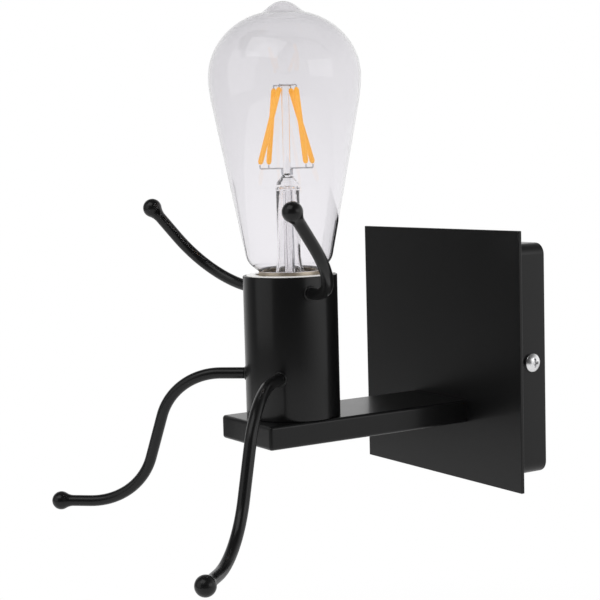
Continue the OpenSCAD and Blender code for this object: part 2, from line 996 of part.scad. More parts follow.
// Screw shell with rolled thread rings, a plain lip and a tab on the holder's floor
module screw_shell() {
    lip_top = holder_top - shell_lip;
    thread_bottom = lip_top - shell_lip - thread_pitch * shell_thread_turns;
    wave = thread_wave(shell_crest_r, shell_out_r - shell_sheet, thread_bottom, shell_thread_turns);
    outline = concat(
        [[shell_crest_r, holder_floor]],
        wave,
        [[shell_crest_r, lip_top], [shell_out_r, lip_top], [shell_out_r, holder_floor]]
    );
    color(brass_gold)
        at_tube() {
            rotate_extrude()
                polygon(outline);
            difference() {
                translate([-tab_w / 2, -shell_crest_r - shell_sheet, holder_floor])
                    cube([tab_w, shell_crest_r + shell_sheet - terminal_y + tab_w / 2, shell_sheet]);
                translate([0, -terminal_y, holder_floor - over])
                    cylinder(d = terminal_d + 2 * hole_fit, h = shell_sheet + 2 * over);
            }
        }
}

// Leaf spring that carries the bulb's centre contact
module contact_spring() {
    foot_y = terminal_y + tab_w / 2;
    rise_y = terminal_y - tab_w / 2;
    top_y = -rise_y / 2;
    outline = [
        [foot_y, 0],
        [foot_y, shell_sheet],
        [rise_y, shell_sheet],
        [top_y, spring_h - shell_sheet],
        [rise_y, spring_h - shell_sheet],
        [rise_y, spring_h],
        [top_y - shell_sheet, spring_h],
        [top_y - shell_sheet, spring_h - shell_sheet],
        [rise_y - shell_sheet, 0]
    ];
    color(brass_gold)
        at_tube()
            translate([0, 0, holder_floor])
                difference() {
                    translate([-tab_w / 2, 0, 0])
                        rotate([90, 0, 90])
                            linear_extrude(tab_w)
                                polygon(outline);
                    translate([0, terminal_y, -over])
                        cylinder(d = terminal_d + 2 * hole_fit, h = shell_sheet + 2 * over);
                }
}

module holder_terminals() {
    length = holder_floor_t + shell_sheet;
    color(brass_gold)
        at_tube()
            for (y = [-terminal_y, terminal_y])
                translate([0, y, recess_top])
                    rotate([180, 0, 0])
                        pan_screw(terminal_d, length, terminal_head_d, terminal_head_h);
}

// Wires: from the terminal block, through the bush, along the bar and up the nipple to the holder
wire_start_z = block_z - clamp_len / 4;
wire_free_z = block_z - block_h / 2 - wire_ease;

function supply_route(side, end_y) = let (
        x = side * wire_pair,
        plug_end = panel_front - plug_len,
        drop_z = bar_z + wire_bend_r,
        run_z = bar_floor + wire_d / 2 + wire_lift,
        end_z = recess_top - terminal_head_h - hole_fit
    ) [
        [side * pole_pitch, pole_y, wire_start_z],
        [side * pole_pitch, pole_y, wire_free_z],
        [(side * pole_pitch + x) / 2, pole_y, (wire_free_z + drop_z) / 2],
        [x, pole_y - wire_ease / 2, drop_z],
        [x, box_inside + wire_d, bar_z + wire_lift],
        [x, panel_front, bar_z],
        [x, plug_end, bar_z],
        [x, plug_end - 2 * wire_bend_r, run_z],
        [x, -tube_out + 2 * wire_bend_r, run_z],
        for (turn = [0 : wire_bend_step : 90])
            [x, -tube_out + wire_bend_r * (1 - sin(turn)), run_z + wire_bend_r * (1 - cos(turn))],
        [x, -tube_out, tube_foot],
        [x, -tube_out, holder_bottom - wire_ease],
        [x / 2, -tube_out + end_y / 2, (holder_bottom + end_z) / 2],
        [0, -tube_out + end_y, end_z - wire_ease],
        [0, -tube_out + end_y, end_z - wire_ease / 4],
        [0, -tube_out + end_y, end_z]
    ];

module live_wire() {
    color(insulation_brown)
        wire(supply_route(LEFT, terminal_y), wire_d);
}

module neutral_wire() {
    color(insulation_blue)
        wire(supply_route(RIGHT, -terminal_y), wire_d);
}

module earth_wire() {
    route = [
        [0, pole_y, wire_start_z],
        [0, pole_y, wire_free_z + wire_ease],
        [0, pole_y, wire_free_z],
        [earth_x / 2, (pole_y + tag_barrel_y) / 2, tag_barrel_top + wire_bend_r],
        [earth_x, tag_barrel_y, tag_barrel_top + wire_ease],
        [earth_x, tag_barrel_y, tag_barrel_top + wire_ease / 4],
        [earth_x, tag_barrel_y, (tag_barrel_top + tag_barrel_bottom) / 2]
    ];
    color(insulation_green)
        wire(route, wire_d);
}

// Bulb
function glass_outline() = concat(
    curve([
        [0, glass_h],
        [tip_flat, glass_h],
        [tip_flank_r, glass_h - tip_flank_h],
        [tip_r, glass_h - tip_h]
    ]),
    curve([
        [tip_r, glass_h - tip_h],
        [crown_r, glass_h - tip_h - crown_drop],
        [bulb_d / 2, widest_h + brow_rise],
        [bulb_d / 2, widest_h]
    ], 1),
    curve([
        [bulb_d / 2, widest_h],
        [bulb_d / 2, widest_h - taper_ease],
        [taper_top_r + taper_ease * tan(glass_taper), taper_top_h + taper_ease],
        [taper_top_r, taper_top_h]
    ], 1),
    curve([
        [taper_foot_r, taper_foot_h],
        [taper_foot_r - foot_ease * tan(glass_taper), taper_foot_h - foot_ease],
        [neck_r + neck_ease_r, neck_ease_h],
        [neck_r, 0]
    ])
);

module at_bulb() {
    at_tube()
        translate([0, 0, bulb_seat])
            children();
}

module bulb_glass() {
    outer = glass_outline();
    inner = moved_in(outer, glass_t);
    neck = [[neck_in_r, 0], [neck_in_r, -neck_in_len], [neck_in_r - glass_t, -neck_in_len]];
    color(glass_clear)
        at_bulb()
            rotate_extrude()
                polygon(concat(outer, neck, [[neck_in_r - glass_t, 0]], flipped(inner)));
}

module bulb_stem() {
    flare_h = -neck_in_len;
    outer = concat(
        curve([
            [flare_r, flare_h],
            [flare_waist_r, flare_h + flare_lip],
            [stem_r, flare_h + flare_bend],
            [stem_r, flare_h + flare_rise]
        ]),
        [
            [stem_r, stem_h],
            [stem_press_r, stem_h + stem_press_h],
            [stem_rod_r, stem_h + stem_press_top],
            [stem_rod_r, stem_rod_top],
            [0, stem_rod_top]
        ]
    );
    inner = concat(
        [[0, stem_h + stem_wall], [stem_r - stem_wall, stem_h]],
        flipped(curve([
            [flare_r - stem_wall, flare_h],
            [flare_waist_r - stem_wall, flare_h + flare_lip],
            [stem_r - stem_wall, flare_h + flare_bend],
            [stem_r - stem_wall, flare_h + flare_rise]
        ]))
    );
    color(glass_clear)
        at_bulb()
            rotate_extrude()
                polygon(concat(outer, inner));
}

module exhaust_tube() {
    color(glass_clear)
        at_bulb()
            translate([0, 0, exhaust_low])
                difference() {
                    cylinder(r = exhaust_r, h = stem_h - exhaust_low);
                    translate([0, 0, -over])
                        cylinder(r = exhaust_r - stem_wall, h = stem_h);
                }
}

// Filaments lean together like a tent: feet on the wide ring, heads on the narrow one, turned a little
module at_filaments() {
    for (i = [0 : filament_count - 1])
        rotate([0, 0, filament_turn + i * 360 / filament_count])
            children();
}

module led_filaments() {
    lean = acos(filament_rise / filament_l);
    heading = atan2(filament_run[1], filament_run[0]);
    color(filament_orange)
        at_bulb()
            at_filaments()
                translate([filament_foot_r, 0, filament_foot_h])
                    rotate([0, lean, heading])
                        cylinder(d = filament_d, h = filament_l);
}

// Lead wires: up from the stem, out to the filament feet, and spokes at the filament heads
module filament_leads() {
    color(steel_grey)
        at_bulb()
            difference() {
                union() {
                    at_filaments() {
                        translate([lead_root_r, 0, lead_root_h])
                            cylinder(d = lead_d, h = lead_foot_h - lead_root_h);
                        translate([lead_root_r, 0, lead_foot_h])
                            sphere(d = lead_d);
                        translate([lead_root_r, 0, lead_foot_h])
                            rotate([0, 90, 0])
                                cylinder(d = lead_d, h = filament_foot_r - lead_root_r);
                        translate([filament_foot_r, 0, lead_foot_h])
                            sphere(d = lead_d);
                        translate([filament_foot_r, 0, lead_foot_h])
                            cylinder(d = lead_d, h = filament_foot_h - lead_foot_h - filament_d / 4);
                        translate([0, 0, lead_head_h])
                            rotate([0, 90, filament_twist])
                                cylinder(d = lead_d, h = filament_head_r);
                    }
                    translate([0, 0, lead_head_h])
                        cylinder(r = stem_rod_r + lead_d, h = 2 * lead_d, center = true);
                }
                cylinder(r = stem_rod_r + hole_fit, h = stem_rod_top + hole_fit);
            }
}

// Screw cap: a plain skirt over the glass neck and rolled thread rings below it
module bulb_cap() {
    skirt_foot = bulb_seat - cap_skirt_h + cap_skirt_ease;
    wave = thread_wave(cap_root_r, cap_crest_r, cap_thread_bottom, thread_turns);
    inner_crest_r = cap_crest_r - cap_sheet;
    inner_wave = thread_wave(cap_root_r - cap_sheet, inner_crest_r, cap_thread_bottom, thread_turns);
    outer = concat(wave, [[cap_crest_r, skirt_foot], [cap_crest_r, bulb_seat]]);
    inner = concat(inner_wave, [[inner_crest_r, skirt_foot], [inner_crest_r, bulb_seat]]);
    color(nickel_warm)
        at_tube()
            rotate_extrude()
                polygon(concat(outer, flipped(inner)));
}

module cap_insulator() {
    face_z = cap_tip + contact_h;
    rim_r = cap_root_r - insulator_gap;
    color(insulator_black)
        at_tube()
            rotate_extrude()
                polygon([
                    [0, face_z],
                    [insulator_tip_r, face_z],
                    [rim_r, cap_thread_bottom],
                    [0, cap_thread_bottom]
                ]);
}

module cap_contact() {
    dome_r = (contact_r * contact_r + contact_h * contact_h) / (2 * contact_h);
    color(steel_grey)
        at_tube()
            translate([0, 0, cap_tip])
                intersection() {
                    cylinder(r = contact_r, h = contact_h);
                    translate([0, 0, dome_r])
                        sphere(dome_r);
                }
}

// Driver board of the bulb, inside the cap
module driver_board() {
    can_d = 6;
    can_h = 6;
    can_x = -4;
    chip = [5, 4, 1.6];
    chip_x = 2;
    color(board_green)
        at_tube()
            translate([0, 0, board_z]) {
                cylinder(r = board_r, h = board_t);
                translate([can_x, 0, board_t])
                    cylinder(d = can_d, h = can_h);
                translate([chip_x, -chip[1] / 2, board_t])
                    cube(chip);
            }
}

wall_bracket();
wall_box();
front_panel();
side_screws();
earth_screw();
earth_tag();
terminal_block();
terminal_clamps();
clamp_screws();
block_screw();
cable_bush();
bar_screws();
arm_bar();
bar_end_cap();
bar_rear_plug();
nipple();
bar_nut();
tube_nut();
body_tube();
limb_sockets();
holder_foot();
foot_screws();
holder_body();
screw_shell();
contact_spring();
holder_terminals();
live_wire();
neutral_wire();
earth_wire();
left_arm_rod();
left_arm_ball();
right_arm_rod();
right_arm_ball();
left_leg_rod();
left_leg_ball();
right_leg_rod();
right_leg_ball();
bulb_glass();
bulb_stem();
exhaust_tube();
led_filaments();
filament_leads();
bulb_cap();
cap_insulator();
cap_contact();
driver_board();
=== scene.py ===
import json
import math
from collections import namedtuple

import bmesh
import bpy
from bpy.props import FloatProperty, FloatVectorProperty, IntProperty, PointerProperty
from mathutils import Matrix, Vector


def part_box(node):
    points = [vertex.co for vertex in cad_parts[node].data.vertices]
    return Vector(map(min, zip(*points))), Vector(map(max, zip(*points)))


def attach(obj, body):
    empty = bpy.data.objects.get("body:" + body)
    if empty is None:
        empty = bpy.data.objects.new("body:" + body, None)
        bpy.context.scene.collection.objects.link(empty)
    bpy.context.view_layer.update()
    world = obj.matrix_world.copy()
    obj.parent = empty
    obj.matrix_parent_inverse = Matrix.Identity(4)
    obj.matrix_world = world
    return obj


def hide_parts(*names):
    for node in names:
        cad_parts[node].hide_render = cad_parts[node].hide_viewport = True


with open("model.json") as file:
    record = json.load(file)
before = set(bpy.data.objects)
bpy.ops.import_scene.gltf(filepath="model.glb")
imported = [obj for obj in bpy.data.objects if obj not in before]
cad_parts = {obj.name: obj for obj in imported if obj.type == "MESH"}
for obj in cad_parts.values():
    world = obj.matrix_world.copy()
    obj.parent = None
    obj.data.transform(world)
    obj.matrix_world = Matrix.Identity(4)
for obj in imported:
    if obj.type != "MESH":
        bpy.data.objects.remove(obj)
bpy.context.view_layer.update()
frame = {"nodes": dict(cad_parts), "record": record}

bl_info = {
    "name": "Figure wall lamp",
    "version": (1, 0, 0),
    "blender": (4, 5, 0),
    "location": "View3D > Sidebar > Lamp",
    "description": "Builds the finished look of a wall lamp in the form of a little figure",
    "category": "Object",
}

MM = 0.001
NODES = frame["nodes"]
RECORD = frame["record"]
BODY_OF = {node: body for body, nodes in RECORD["behaviour"]["bodies"].items() for node in nodes}
SLOT_OF = {row["node"]: row["material_slot"] for row in RECORD["subparts"]}
LEFT, RIGHT = -1, 1
SIDES = (LEFT, RIGHT)
UP = Vector((0, 0, 1))
DOWN = (0, 0, -1)
TO_WALL, FROM_WALL = (0, 1, 0), (0, -1, 0)
WHOLE_TURN = 2 * math.pi
QUARTER_TURN = math.pi / 2


def corners(node):
    """Lowest and highest corner of a frame node, in millimetres"""
    return [Vector([round(part / MM, 3) for part in corner]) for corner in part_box(node)]


def middle(node):
    """Middle of a frame node's box, in millimetres"""
    low, high = corners(node)
    return (low + high) / 2


# Places that the frame gives, in millimetres: the wall is y = 0 and the lamp stands out towards -Y
PANEL_FRONT = corners("front_panel")[0].y
BOX_HALF = corners("wall_box")[1].x
SIDE_SCREW = middle("side_screws")
BLOCK_LOW, BLOCK_HIGH = corners("terminal_block")
BLOCK = middle("terminal_block")
EARTH_X = middle("earth_tag").x
BAR_LOW, BAR_HIGH = corners("arm_bar")
BAR_W, _, BAR_T = BAR_HIGH - BAR_LOW
BAR_Z = middle("arm_bar").z
BAR_END = corners("bar_end_cap")[0].y
PLUG_END = corners("bar_rear_plug")[0].y
TUBE_LOW, TUBE_HIGH = corners("body_tube")
TUBE_R, TUBE_FOOT, TUBE_RIM = TUBE_HIGH.x, TUBE_LOW.z, TUBE_HIGH.z
TUBE_OUT = -middle("body_tube").y
FOOT_BOTTOM = corners("holder_foot")[0].z
HOLDER_BOTTOM = corners("holder_body")[0].z
SHELL_LOW, SHELL_HIGH = corners("screw_shell")
CAP_LOW, CAP_HIGH = corners("bulb_cap")
CONTACT_LOW, CONTACT_HIGH = corners("cap_contact")
INSULATOR_R = corners("cap_insulator")[1].x
BULB_SEAT = CAP_HIGH.z
GLASS_LOW, GLASS_HIGH = corners("bulb_glass")
AT_TUBE = Matrix.Translation((0, -TUBE_OUT, 0))
AT_BULB = Matrix.Translation((0, -TUBE_OUT, BULB_SEAT))

# Walls and seats that no box shows, in millimetres
BAR_WALL, BAR_INNER_EDGE = 1.5, 0.3
TUBE_WALL, TUBE_BASE = 1.2, 1.5
TUBE_IN = TUBE_R - TUBE_WALL
NIPPLE_HOLE_R, NIPPLE_HOLE_EASE = 5.2, 0.2
RECESS_TOP, POST_X, TERMINAL_Y = 2.0, 9.4, 6.5
BAR_SCREW_X, BLOCK_SCREW_X = 12.0, 4.5
THREAD_ROOT_DROP = 0.9
CAP_SHEET, CAP_SKIRT = 0.35, 7.0
SHELL_SHEET, SHELL_FOOT, SHELL_LIP = 0.4, 4.0, 2.0

# Limbs, in millimetres and degrees: each step is a straight run, then a bend
Step = namedtuple("Step", "run bend_r bend")
Limb = namedtuple("Limb", "side heading height lean steps")
ARM_Z, LEG_Z = 33.2, -2.0
ARM_HEADING, LEG_HEADING = 83.0, 42.0
SOCKET_FACE, SHOULDER = 20.6, 20.7
JOURNAL_R, SOCKET_R, SOCKET_BORE_R, SOCKET_BORE_EASE = 2.0, 3.2, 2.05, 0.12
ROD_EASE = 0.2
ARM_STEPS = (Step(1.5664, 37.0, 76.0), Step(17.0, 0.0, 0.0))
LEG_STEPS = (Step(10.5, 29.5, -71.0), Step(21.0, 32.0, 71.0), Step(13.6, 0.0, 0.0))
LIMBS = {
    "left_arm": Limb(LEFT, ARM_HEADING, ARM_Z, 37.0, ARM_STEPS),
    "right_arm": Limb(RIGHT, ARM_HEADING, ARM_Z, 38.0, ARM_STEPS),
    "left_leg": Limb(LEFT, LEG_HEADING, LEG_Z, 13.0, LEG_STEPS),
    "right_leg": Limb(RIGHT, LEG_HEADING, LEG_Z, -3.0, LEG_STEPS),
}

# Pan-head screws, in millimetres
Screw = namedtuple("Screw", "shank_d length head_d head_h")
SCREWS = {
    "side_screws": Screw(4.0, 5.8, 8.0, 2.6),
    "bar_screws": Screw(4.0, 11.8, 7.0, 2.4),
    "block_screw": Screw(3.0, 13.2, 5.5, 2.0),
    "earth_screw": Screw(4.0, 2.3, 7.0, 2.4),
    "foot_screws": Screw(3.0, 9.0, 5.0, 2.0),
    "holder_terminals": Screw(3.0, 7.4, 5.5, 2.2),
}

# Bulb glass above its seat, in millimetres, with the handles that draw its curves
GLASS_H = GLASS_HIGH.z - BULB_SEAT
BULB_R, WIDEST_H = GLASS_HIGH.x, 81.0
TIP_R, TIP_DROP, TIP_FLAT, TIP_FLANK_R, TIP_FLANK_DROP = 10.4, 5.1, 5.2, 6.6, 3.8
CROWN_R, CROWN_DROP, BROW_RISE = 19.2, 1.8, 15.4
TAPER, TAPER_TOP_R, TAPER_TOP_H, TAPER_FOOT_H = 11.0, 30.3, 67.4, 6.8
TAPER_EASE, TAPER_HOLD, FOOT_EASE = 4.6, 20.0, 3.6
NECK_R, NECK_EASE_R, NECK_EASE_H = 13.0, 15.1, 1.7
NECK_IN_R, NECK_LOW = 12.25, GLASS_LOW.z - BULB_SEAT

# Mesh making: angles in degrees, distances at which points are joined in metres, steps and sides
SMOOTH, GLASS_SMOOTH, THREAD_SMOOTH = 32.0, 50.0, 40.0
BEVEL_ANGLE, BEVEL_STEPS, FLAT_ANGLE, FLAT_WEIGHT = 38.0, 3, 0.6, 80
MERGE, FRAME_MERGE = 1e-7, 2e-6
BEND_STEP, NECK_STEPS, BALL_STEPS, DOME_STEPS = 2.5, 8, 24, 12
SCREW_SIDES, COLLAR_SIDES, THREAD_AROUND, THREAD_ALONG = 56, 64, 145, 150


def length(name, description, value):
    """A length property, its default given in millimetres"""
    return FloatProperty(name=name, description=description, default=value * MM, unit="LENGTH")


def colour(name, description, value):
    """A colour property"""
    return FloatVectorProperty(
        name=name, description=description, default=value, size=3, min=0, max=1, subtype="COLOR")


class LampSizes(bpy.types.PropertyGroup):
    """Sizes of the finish that a user would change"""

    sheet_ease: length("Sheet edge", "Rounding of the panel's edges", 0.3)
    bend_ease: length("Box edge", "Rounding of the wall box's edges", 0.5)
    bar_edge: length("Bar edge", "Rounding of the arm bar's edges", 1.4)
    tube_lip: length("Tube lip", "Rounding of the body tube's rim and foot", 0.4)
    collar_ease: length("Collar edge", "Rounding of the collars round the limb roots", 0.58)
    rod_d: length("Rod", "Diameter of the limb rods", 4.9)
    ball_d: length("Ball", "Diameter of the balls on the limbs", 8.2)
    neck_fillet: length("Ball neck", "Radius of the hollow between rod and ball", 7.0)
    wire_d: length("Wire", "Diameter of the insulated wires", 1.8)
    glass_t: length("Glass wall", "Thickness of the bulb glass", 0.8)
    filament_d: length("Filament", "Diameter of the filaments", 2.2)
    lead_d: length("Lead wire", "Diameter of the bulb's lead wires", 0.6)
    thread_pitch: length("Thread pitch", "Rise of the rolled thread per turn", 3.6)
    rod_sides: IntProperty(name="Rod sides", description="Faces round a limb rod", default=40, min=8)
    lathe_sides: IntProperty(
        name="Round sides", description="Faces round the turned pieces", default=128, min=24)


class LampColours(bpy.types.PropertyGroup):
    """Colours of the finishes"""

    coat: colour("Coat", "Black powder coat of the lamp", (0.0034, 0.0034, 0.0036))
    screw: colour("Screws", "Bright plated screws", (0.88, 0.88, 0.89))
    zinc: colour("Zinc", "Zinc plated steel", (0.60, 0.62, 0.65))
    brass: colour("Brass", "Brass of contacts and clamps", (0.78, 0.57, 0.25))
    block: colour("Terminal block", "Moulded block plastic", (0.80, 0.76, 0.64))
    rubber: colour("Bush", "Rubber of the cable bush", (0.014, 0.014, 0.015))
    porcelain: colour("Porcelain", "Glazed lampholder body", (0.88, 0.87, 0.84))
    brown: colour("Brown wire", "Insulation of the live wire", (0.16, 0.055, 0.022))
    blue: colour("Blue wire", "Insulation of the neutral wire", (0.025, 0.115, 0.38))
    green: colour("Green wire", "Insulation of the earth wire", (0.07, 0.30, 0.05))
    yellow: colour("Yellow stripe", "Stripe of the earth wire", (0.85, 0.66, 0.05))
    glass: colour("Glass", "Faint tint of the bulb glass", (0.972, 0.962, 0.978))
    haze: colour("Glass edge", "Grey of the bulb glass where it is seen on edge", (0.55, 0.55, 0.58))
    stem: colour("Stem", "Glass of the stem and its tube", (0.985, 0.98, 0.985))
    # The filament colour is the phosphor's own colour and also the colour of the filaments' painted glow
    filament: colour("Filament", "Phosphor on the filaments", (0.97, 0.43, 0.035))
    cap: colour("Screw cap", "Plated cap of the bulb", (0.74, 0.65, 0.53))
    cement: colour("Cement", "Capping cement round the glass neck", (0.95, 0.88, 0.74))
    solder: colour("Solder", "Solder of the centre contact", (0.66, 0.67, 0.68))
    glaze: colour("Glaze", "Black glass round the centre contact", (0.012, 0.012, 0.016))
    board: colour("Board", "Lacquer of the driver board", (0.02, 0.16, 0.07))
    floor: colour("Floor", "Pale studio floor", (0.86, 0.86, 0.86))


def lamp_sizes():
    return bpy.context.scene.lamp_sizes


def lamp_colours():
    return bpy.context.scene.lamp_colours


def mm(key):
    """One of the sizes that a user may change, in millimetres"""
    return getattr(lamp_sizes(), key) / MM


class Socket:
    """An output of a node that can be used in sums"""

    def __init__(self, graph, end):
        self.graph = graph
        self.end = end

    def of(self, name):
        """Another output of the same node"""
        return Socket(self.graph, self.end.node.outputs[name])

    def sum(self, operation, *values):
        """A Math node on these values"""
        return self.graph.node("ShaderNodeMath", {"operation": operation}, values)

    def __add__(self, other):
        return self.sum("ADD", self, other)

    def __radd__(self, other):
        return self.sum("ADD", other, self)

    def __sub__(self, other):
        return self.sum("SUBTRACT", self, other)

    def __rsub__(self, other):
        return self.sum("SUBTRACT", other, self)

    def __mul__(self, other):
        return self.sum("MULTIPLY", self, other)

    def __rmul__(self, other):
        return self.sum("MULTIPLY", other, self)

    def __truediv__(self, other):
        return self.sum("DIVIDE", self, other)

    def __rtruediv__(self, other):
        return self.sum("DIVIDE", other, self)

    def cos(self):
        return self.sum("COSINE", self)

    def sin(self):
        return self.sum("SINE", self)

    def least(self, other):
        return self.sum("MINIMUM", self, other)

    def most(self, other):
        return self.sum("MAXIMUM", self, other)

    def ease(self, start, end, low=0.0, high=1.0):
        """A smooth step from low to high as the value goes from start to end"""
        settings = {"interpolation_type": "SMOOTHSTEP"}
        return self.graph.node("ShaderNodeMapRange", settings, [self, start, end, low, high])


class Graph:
    """A node tree and the one way that nodes are added to it"""

    def __init__(self, tree):
        self.tree = tree

    def give(self, socket, value):
        """Links or sets one input"""
        if isinstance(value, Socket):
            self.tree.links.new(value.end, socket)
        elif value is not None:
            socket.default_value = value

    def node(self, kind, settings=None, inputs=(), out=0):
        """Adds a node, sets it up, fills its inputs and returns one of its outputs, if it has any"""
        made = self.tree.nodes.new(kind)
        for key, value in (settings or {}).items():
            setattr(made, key, value)
        rows = inputs.items() if isinstance(inputs, dict) else enumerate(inputs)
        for key, value in rows:
            self.give(made.inputs[key], value)
        return Socket(self, made.outputs[out]) if len(made.outputs) else None

    def dot(self, way, heading):
        """How far a direction points along a heading"""
        return self.node("ShaderNodeVectorMath", {"operation": "DOT_PRODUCT"}, [way, heading], "Value")


class Finish(Graph):
    """One material: its shader and what feeds it"""

    def __init__(self, name, **constants):
        self.material = bpy.data.materials.new(name)
        self.material.use_nodes = True
        super().__init__(self.material.node_tree)
        self.tree.nodes.clear()
        self.shader = self.node("ShaderNodeBsdfPrincipled")
        self.place = self.node("ShaderNodeTexCoord", out="Object")
        for key, value in constants.items():
            self.set(key.replace("_", " "), value)

    def set(self, socket, value):
        """Sets or links one socket of the shader"""
        self.give(self.shader.end.node.inputs[socket], value)

    def noise(self, size, detail=2.0, rough=0.5, stretch=None):
        """Cloudy pattern whose features are about size millimetres across"""
        place = self.place
        if stretch:
            place = self.node("ShaderNodeMapping", inputs={"Vector": place, "Scale": stretch})
        inputs = {"Vector": place, "Scale": 1 / (size * MM), "Detail": detail, "Roughness": rough}
        return self.node("ShaderNodeTexNoise", inputs=inputs)

    def cells(self, size):
        """Patchy pattern of flat cells, size millimetres across"""
        inputs = {"Vector": self.place, "Scale": 1 / (size * MM)}
        patches = self.node("ShaderNodeTexVoronoi", inputs=inputs, out="Color")
        return self.node("ShaderNodeSeparateColor", inputs=[patches])

    def tint(self, share, first, second):
        """Mix of two colours"""
        rows = {0: share, 6: paint(first), 7: paint(second)}
        return self.node("ShaderNodeMix", {"data_type": "RGBA"}, rows, 2)

    def mottle(self, share, base, dark, light):
        """Base colour that wanders between two shades of one colour"""
        shade = self.tint(share, paint(base, dark), paint(base, light))
        self.set("Base Color", shade)
        return shade

    def relief(self, height, depth, strength=0.5):
        """Fine bumps, depth millimetres high"""
        inputs = {"Strength": strength, "Distance": depth * MM, "Height": height}
        self.set("Normal", self.node("ShaderNodeBump", inputs=inputs))

    def done(self, surface=None, volume=None):
        """Ends the material with its output and gives it back"""
        self.node("ShaderNodeOutputMaterial", inputs={"Surface": surface or self.shader, "Volume": volume})
        return self.material


def paint(value, share=1.0):
    """A colour with four parts, made darker or lighter by a share"""
    return (*(min(part * share, 1.0) for part in value[:3]), 1.0)


def black_coat():
    make = Finish("black_coat", Specular_IOR_Level=0.2, Coat_Weight=0.32, Coat_Roughness=0.16)
    cloud = make.noise(size=26, detail=3.0, rough=0.6)
    peel = make.noise(size=0.9, detail=1.0)
    grain = make.noise(size=0.16)
    make.mottle(cloud, lamp_colours().coat, dark=0.82, light=1.2)
    make.set("Roughness", 0.29 + 0.06 * cloud + 0.05 * grain)
    make.relief(0.7 * peel + 0.3 * grain, depth=0.012)
    return make.done()


def plated(name, base, rough, patch, brush=None):
    """Bright plated metal with faint patches and fine rubbing marks"""
    make = Finish(name, Metallic=1.0)
    cloud = make.noise(patch, detail=3.0, rough=0.6)
    marks = make.noise(size=0.35, detail=3.0, rough=0.65, stretch=brush)
    make.mottle(cloud, base, dark=0.86, light=1.1)
    make.set("Roughness", rough + 0.14 * cloud + 0.08 * marks)
    make.relief(marks, depth=0.006, strength=0.4)
    return make.done()


def bright_screw():
    return plated("bright_screw", lamp_colours().screw, rough=0.14, patch=2.5)


def brass():
    return plated("brass", lamp_colours().brass, rough=0.2, patch=4.0, brush=(1.0, 1.0, 6.0))


def cap_metal():
    return plated("cap_metal", lamp_colours().cap, rough=0.34, patch=5.0, brush=(1.0, 1.0, 5.0))


def cap_solder():
    return plated("cap_solder", lamp_colours().solder, rough=0.3, patch=1.5)


def zinc_steel():
    make = Finish("zinc_steel", Metallic=1.0)
    spangle = make.cells(size=2.2)
    cloud = make.noise(size=9, detail=3.0)
    make.mottle(0.6 * spangle + 0.4 * cloud, lamp_colours().zinc, dark=0.8, light=1.15)
    make.set("Roughness", 0.28 + 0.16 * spangle + 0.1 * cloud)
    make.relief(make.noise(size=0.3, detail=3.0), depth=0.008, strength=0.4)
    return make.done()


def moulded(name, base, rough, grain, depth, coat=0.0):
    """Moulded or glazed surface with a faint mottle"""
    make = Finish(name, Coat_Weight=coat, Coat_Roughness=0.06)
    cloud = make.noise(size=7, detail=3.0)
    fine = make.noise(grain)
    make.mottle(cloud, base, dark=0.93, light=1.05)
    make.set("Roughness", rough + 0.1 * fine)
    make.relief(fine, depth)
    return make.done()


def block_plastic():
    return moulded("block_plastic", lamp_colours().block, rough=0.38, grain=0.3, depth=0.01)


def bush_rubber():
    return moulded("bush_rubber", lamp_colours().rubber, rough=0.6, grain=0.15, depth=0.012)


def porcelain():
    return moulded("porcelain", lamp_colours().porcelain, rough=0.16, grain=1.6, depth=0.02, coat=0.6)


def cement():
    return moulded("cement", lamp_colours().cement, rough=0.75, grain=0.3, depth=0.03)


def brown_insulation():
    return moulded("brown_insulation", lamp_colours().brown, rough=0.34, grain=0.25, depth=0.006)


def blue_insulation():
    return moulded("blue_insulation", lamp_colours().blue, rough=0.34, grain=0.25, depth=0.006)


def cap_glaze():
    return moulded("cap_glaze", lamp_colours().glaze, rough=0.1, grain=1.2, depth=0.01, coat=0.5)


def board():
    return moulded("board", lamp_colours().board, rough=0.3, grain=0.4, depth=0.01, coat=0.3)


def green_insulation():
    colours = lamp_colours()
    make = Finish("green_insulation")
    around = make.node("ShaderNodeAttribute", {"attribute_name": "around"}, out="Fac")
    fine = make.noise(size=0.25)
    make.set("Base Color", make.tint(around.ease(0.1, 0.25), colours.green, colours.yellow))
    make.set("Roughness", 0.32 + 0.1 * fine)
    make.relief(fine, depth=0.006)
    return make.done()


def clear_glass(name, base, smoke, density):
    """Clear glass, a little smokier from neck to crown, that greys where it is seen on edge"""
    make = Finish(name, Transmission_Weight=1.0, IOR=1.46)
    height = make.node("ShaderNodeSeparateXYZ", inputs=[make.place], out="Z")
    neck, crown = 55 * MM, 150 * MM
    share = height.ease(neck, crown) + 0.12 * (make.noise(size=14) - 0.5)
    make.mottle(share, base, dark=1.0, light=smoke)
    make.set("Roughness", 0.006 * make.noise(size=30))
    if not density:
        return make.done()
    haze = {"Color": paint(lamp_colours().haze), "Density": density}
    return make.done(volume=make.node("ShaderNodeVolumeAbsorption", inputs=haze))


def bulb_clear():
    return clear_glass("bulb_clear", lamp_colours().glass, smoke=0.915, density=130.0)


def stem_clear():
    return clear_glass("stem_clear", lamp_colours().stem, smoke=0.99, density=0.0)


def filament_phosphor():
    # Painted light: the unlit filaments glow in their own orange at a strength of 0.55, a painted glow
    # that stands in for the studio light falling on their phosphor
    make = Finish("filament_phosphor", Emission_Strength=0.55)
    cloud = make.noise(size=1.4, detail=3.0)
    shade = make.mottle(cloud, lamp_colours().filament, dark=0.88, light=1.1)
    make.set("Emission Color", shade)
    make.set("Roughness", 0.45 + 0.15 * cloud)
    make.relief(make.noise(size=0.4), depth=0.03)
    return make.done()


FINISHES = (
    black_coat, bright_screw, zinc_steel, brass, block_plastic, bush_rubber, porcelain, cement,
    brown_insulation, blue_insulation, green_insulation, bulb_clear, stem_clear, filament_phosphor,
    cap_metal, cap_solder, cap_glaze, board,
)


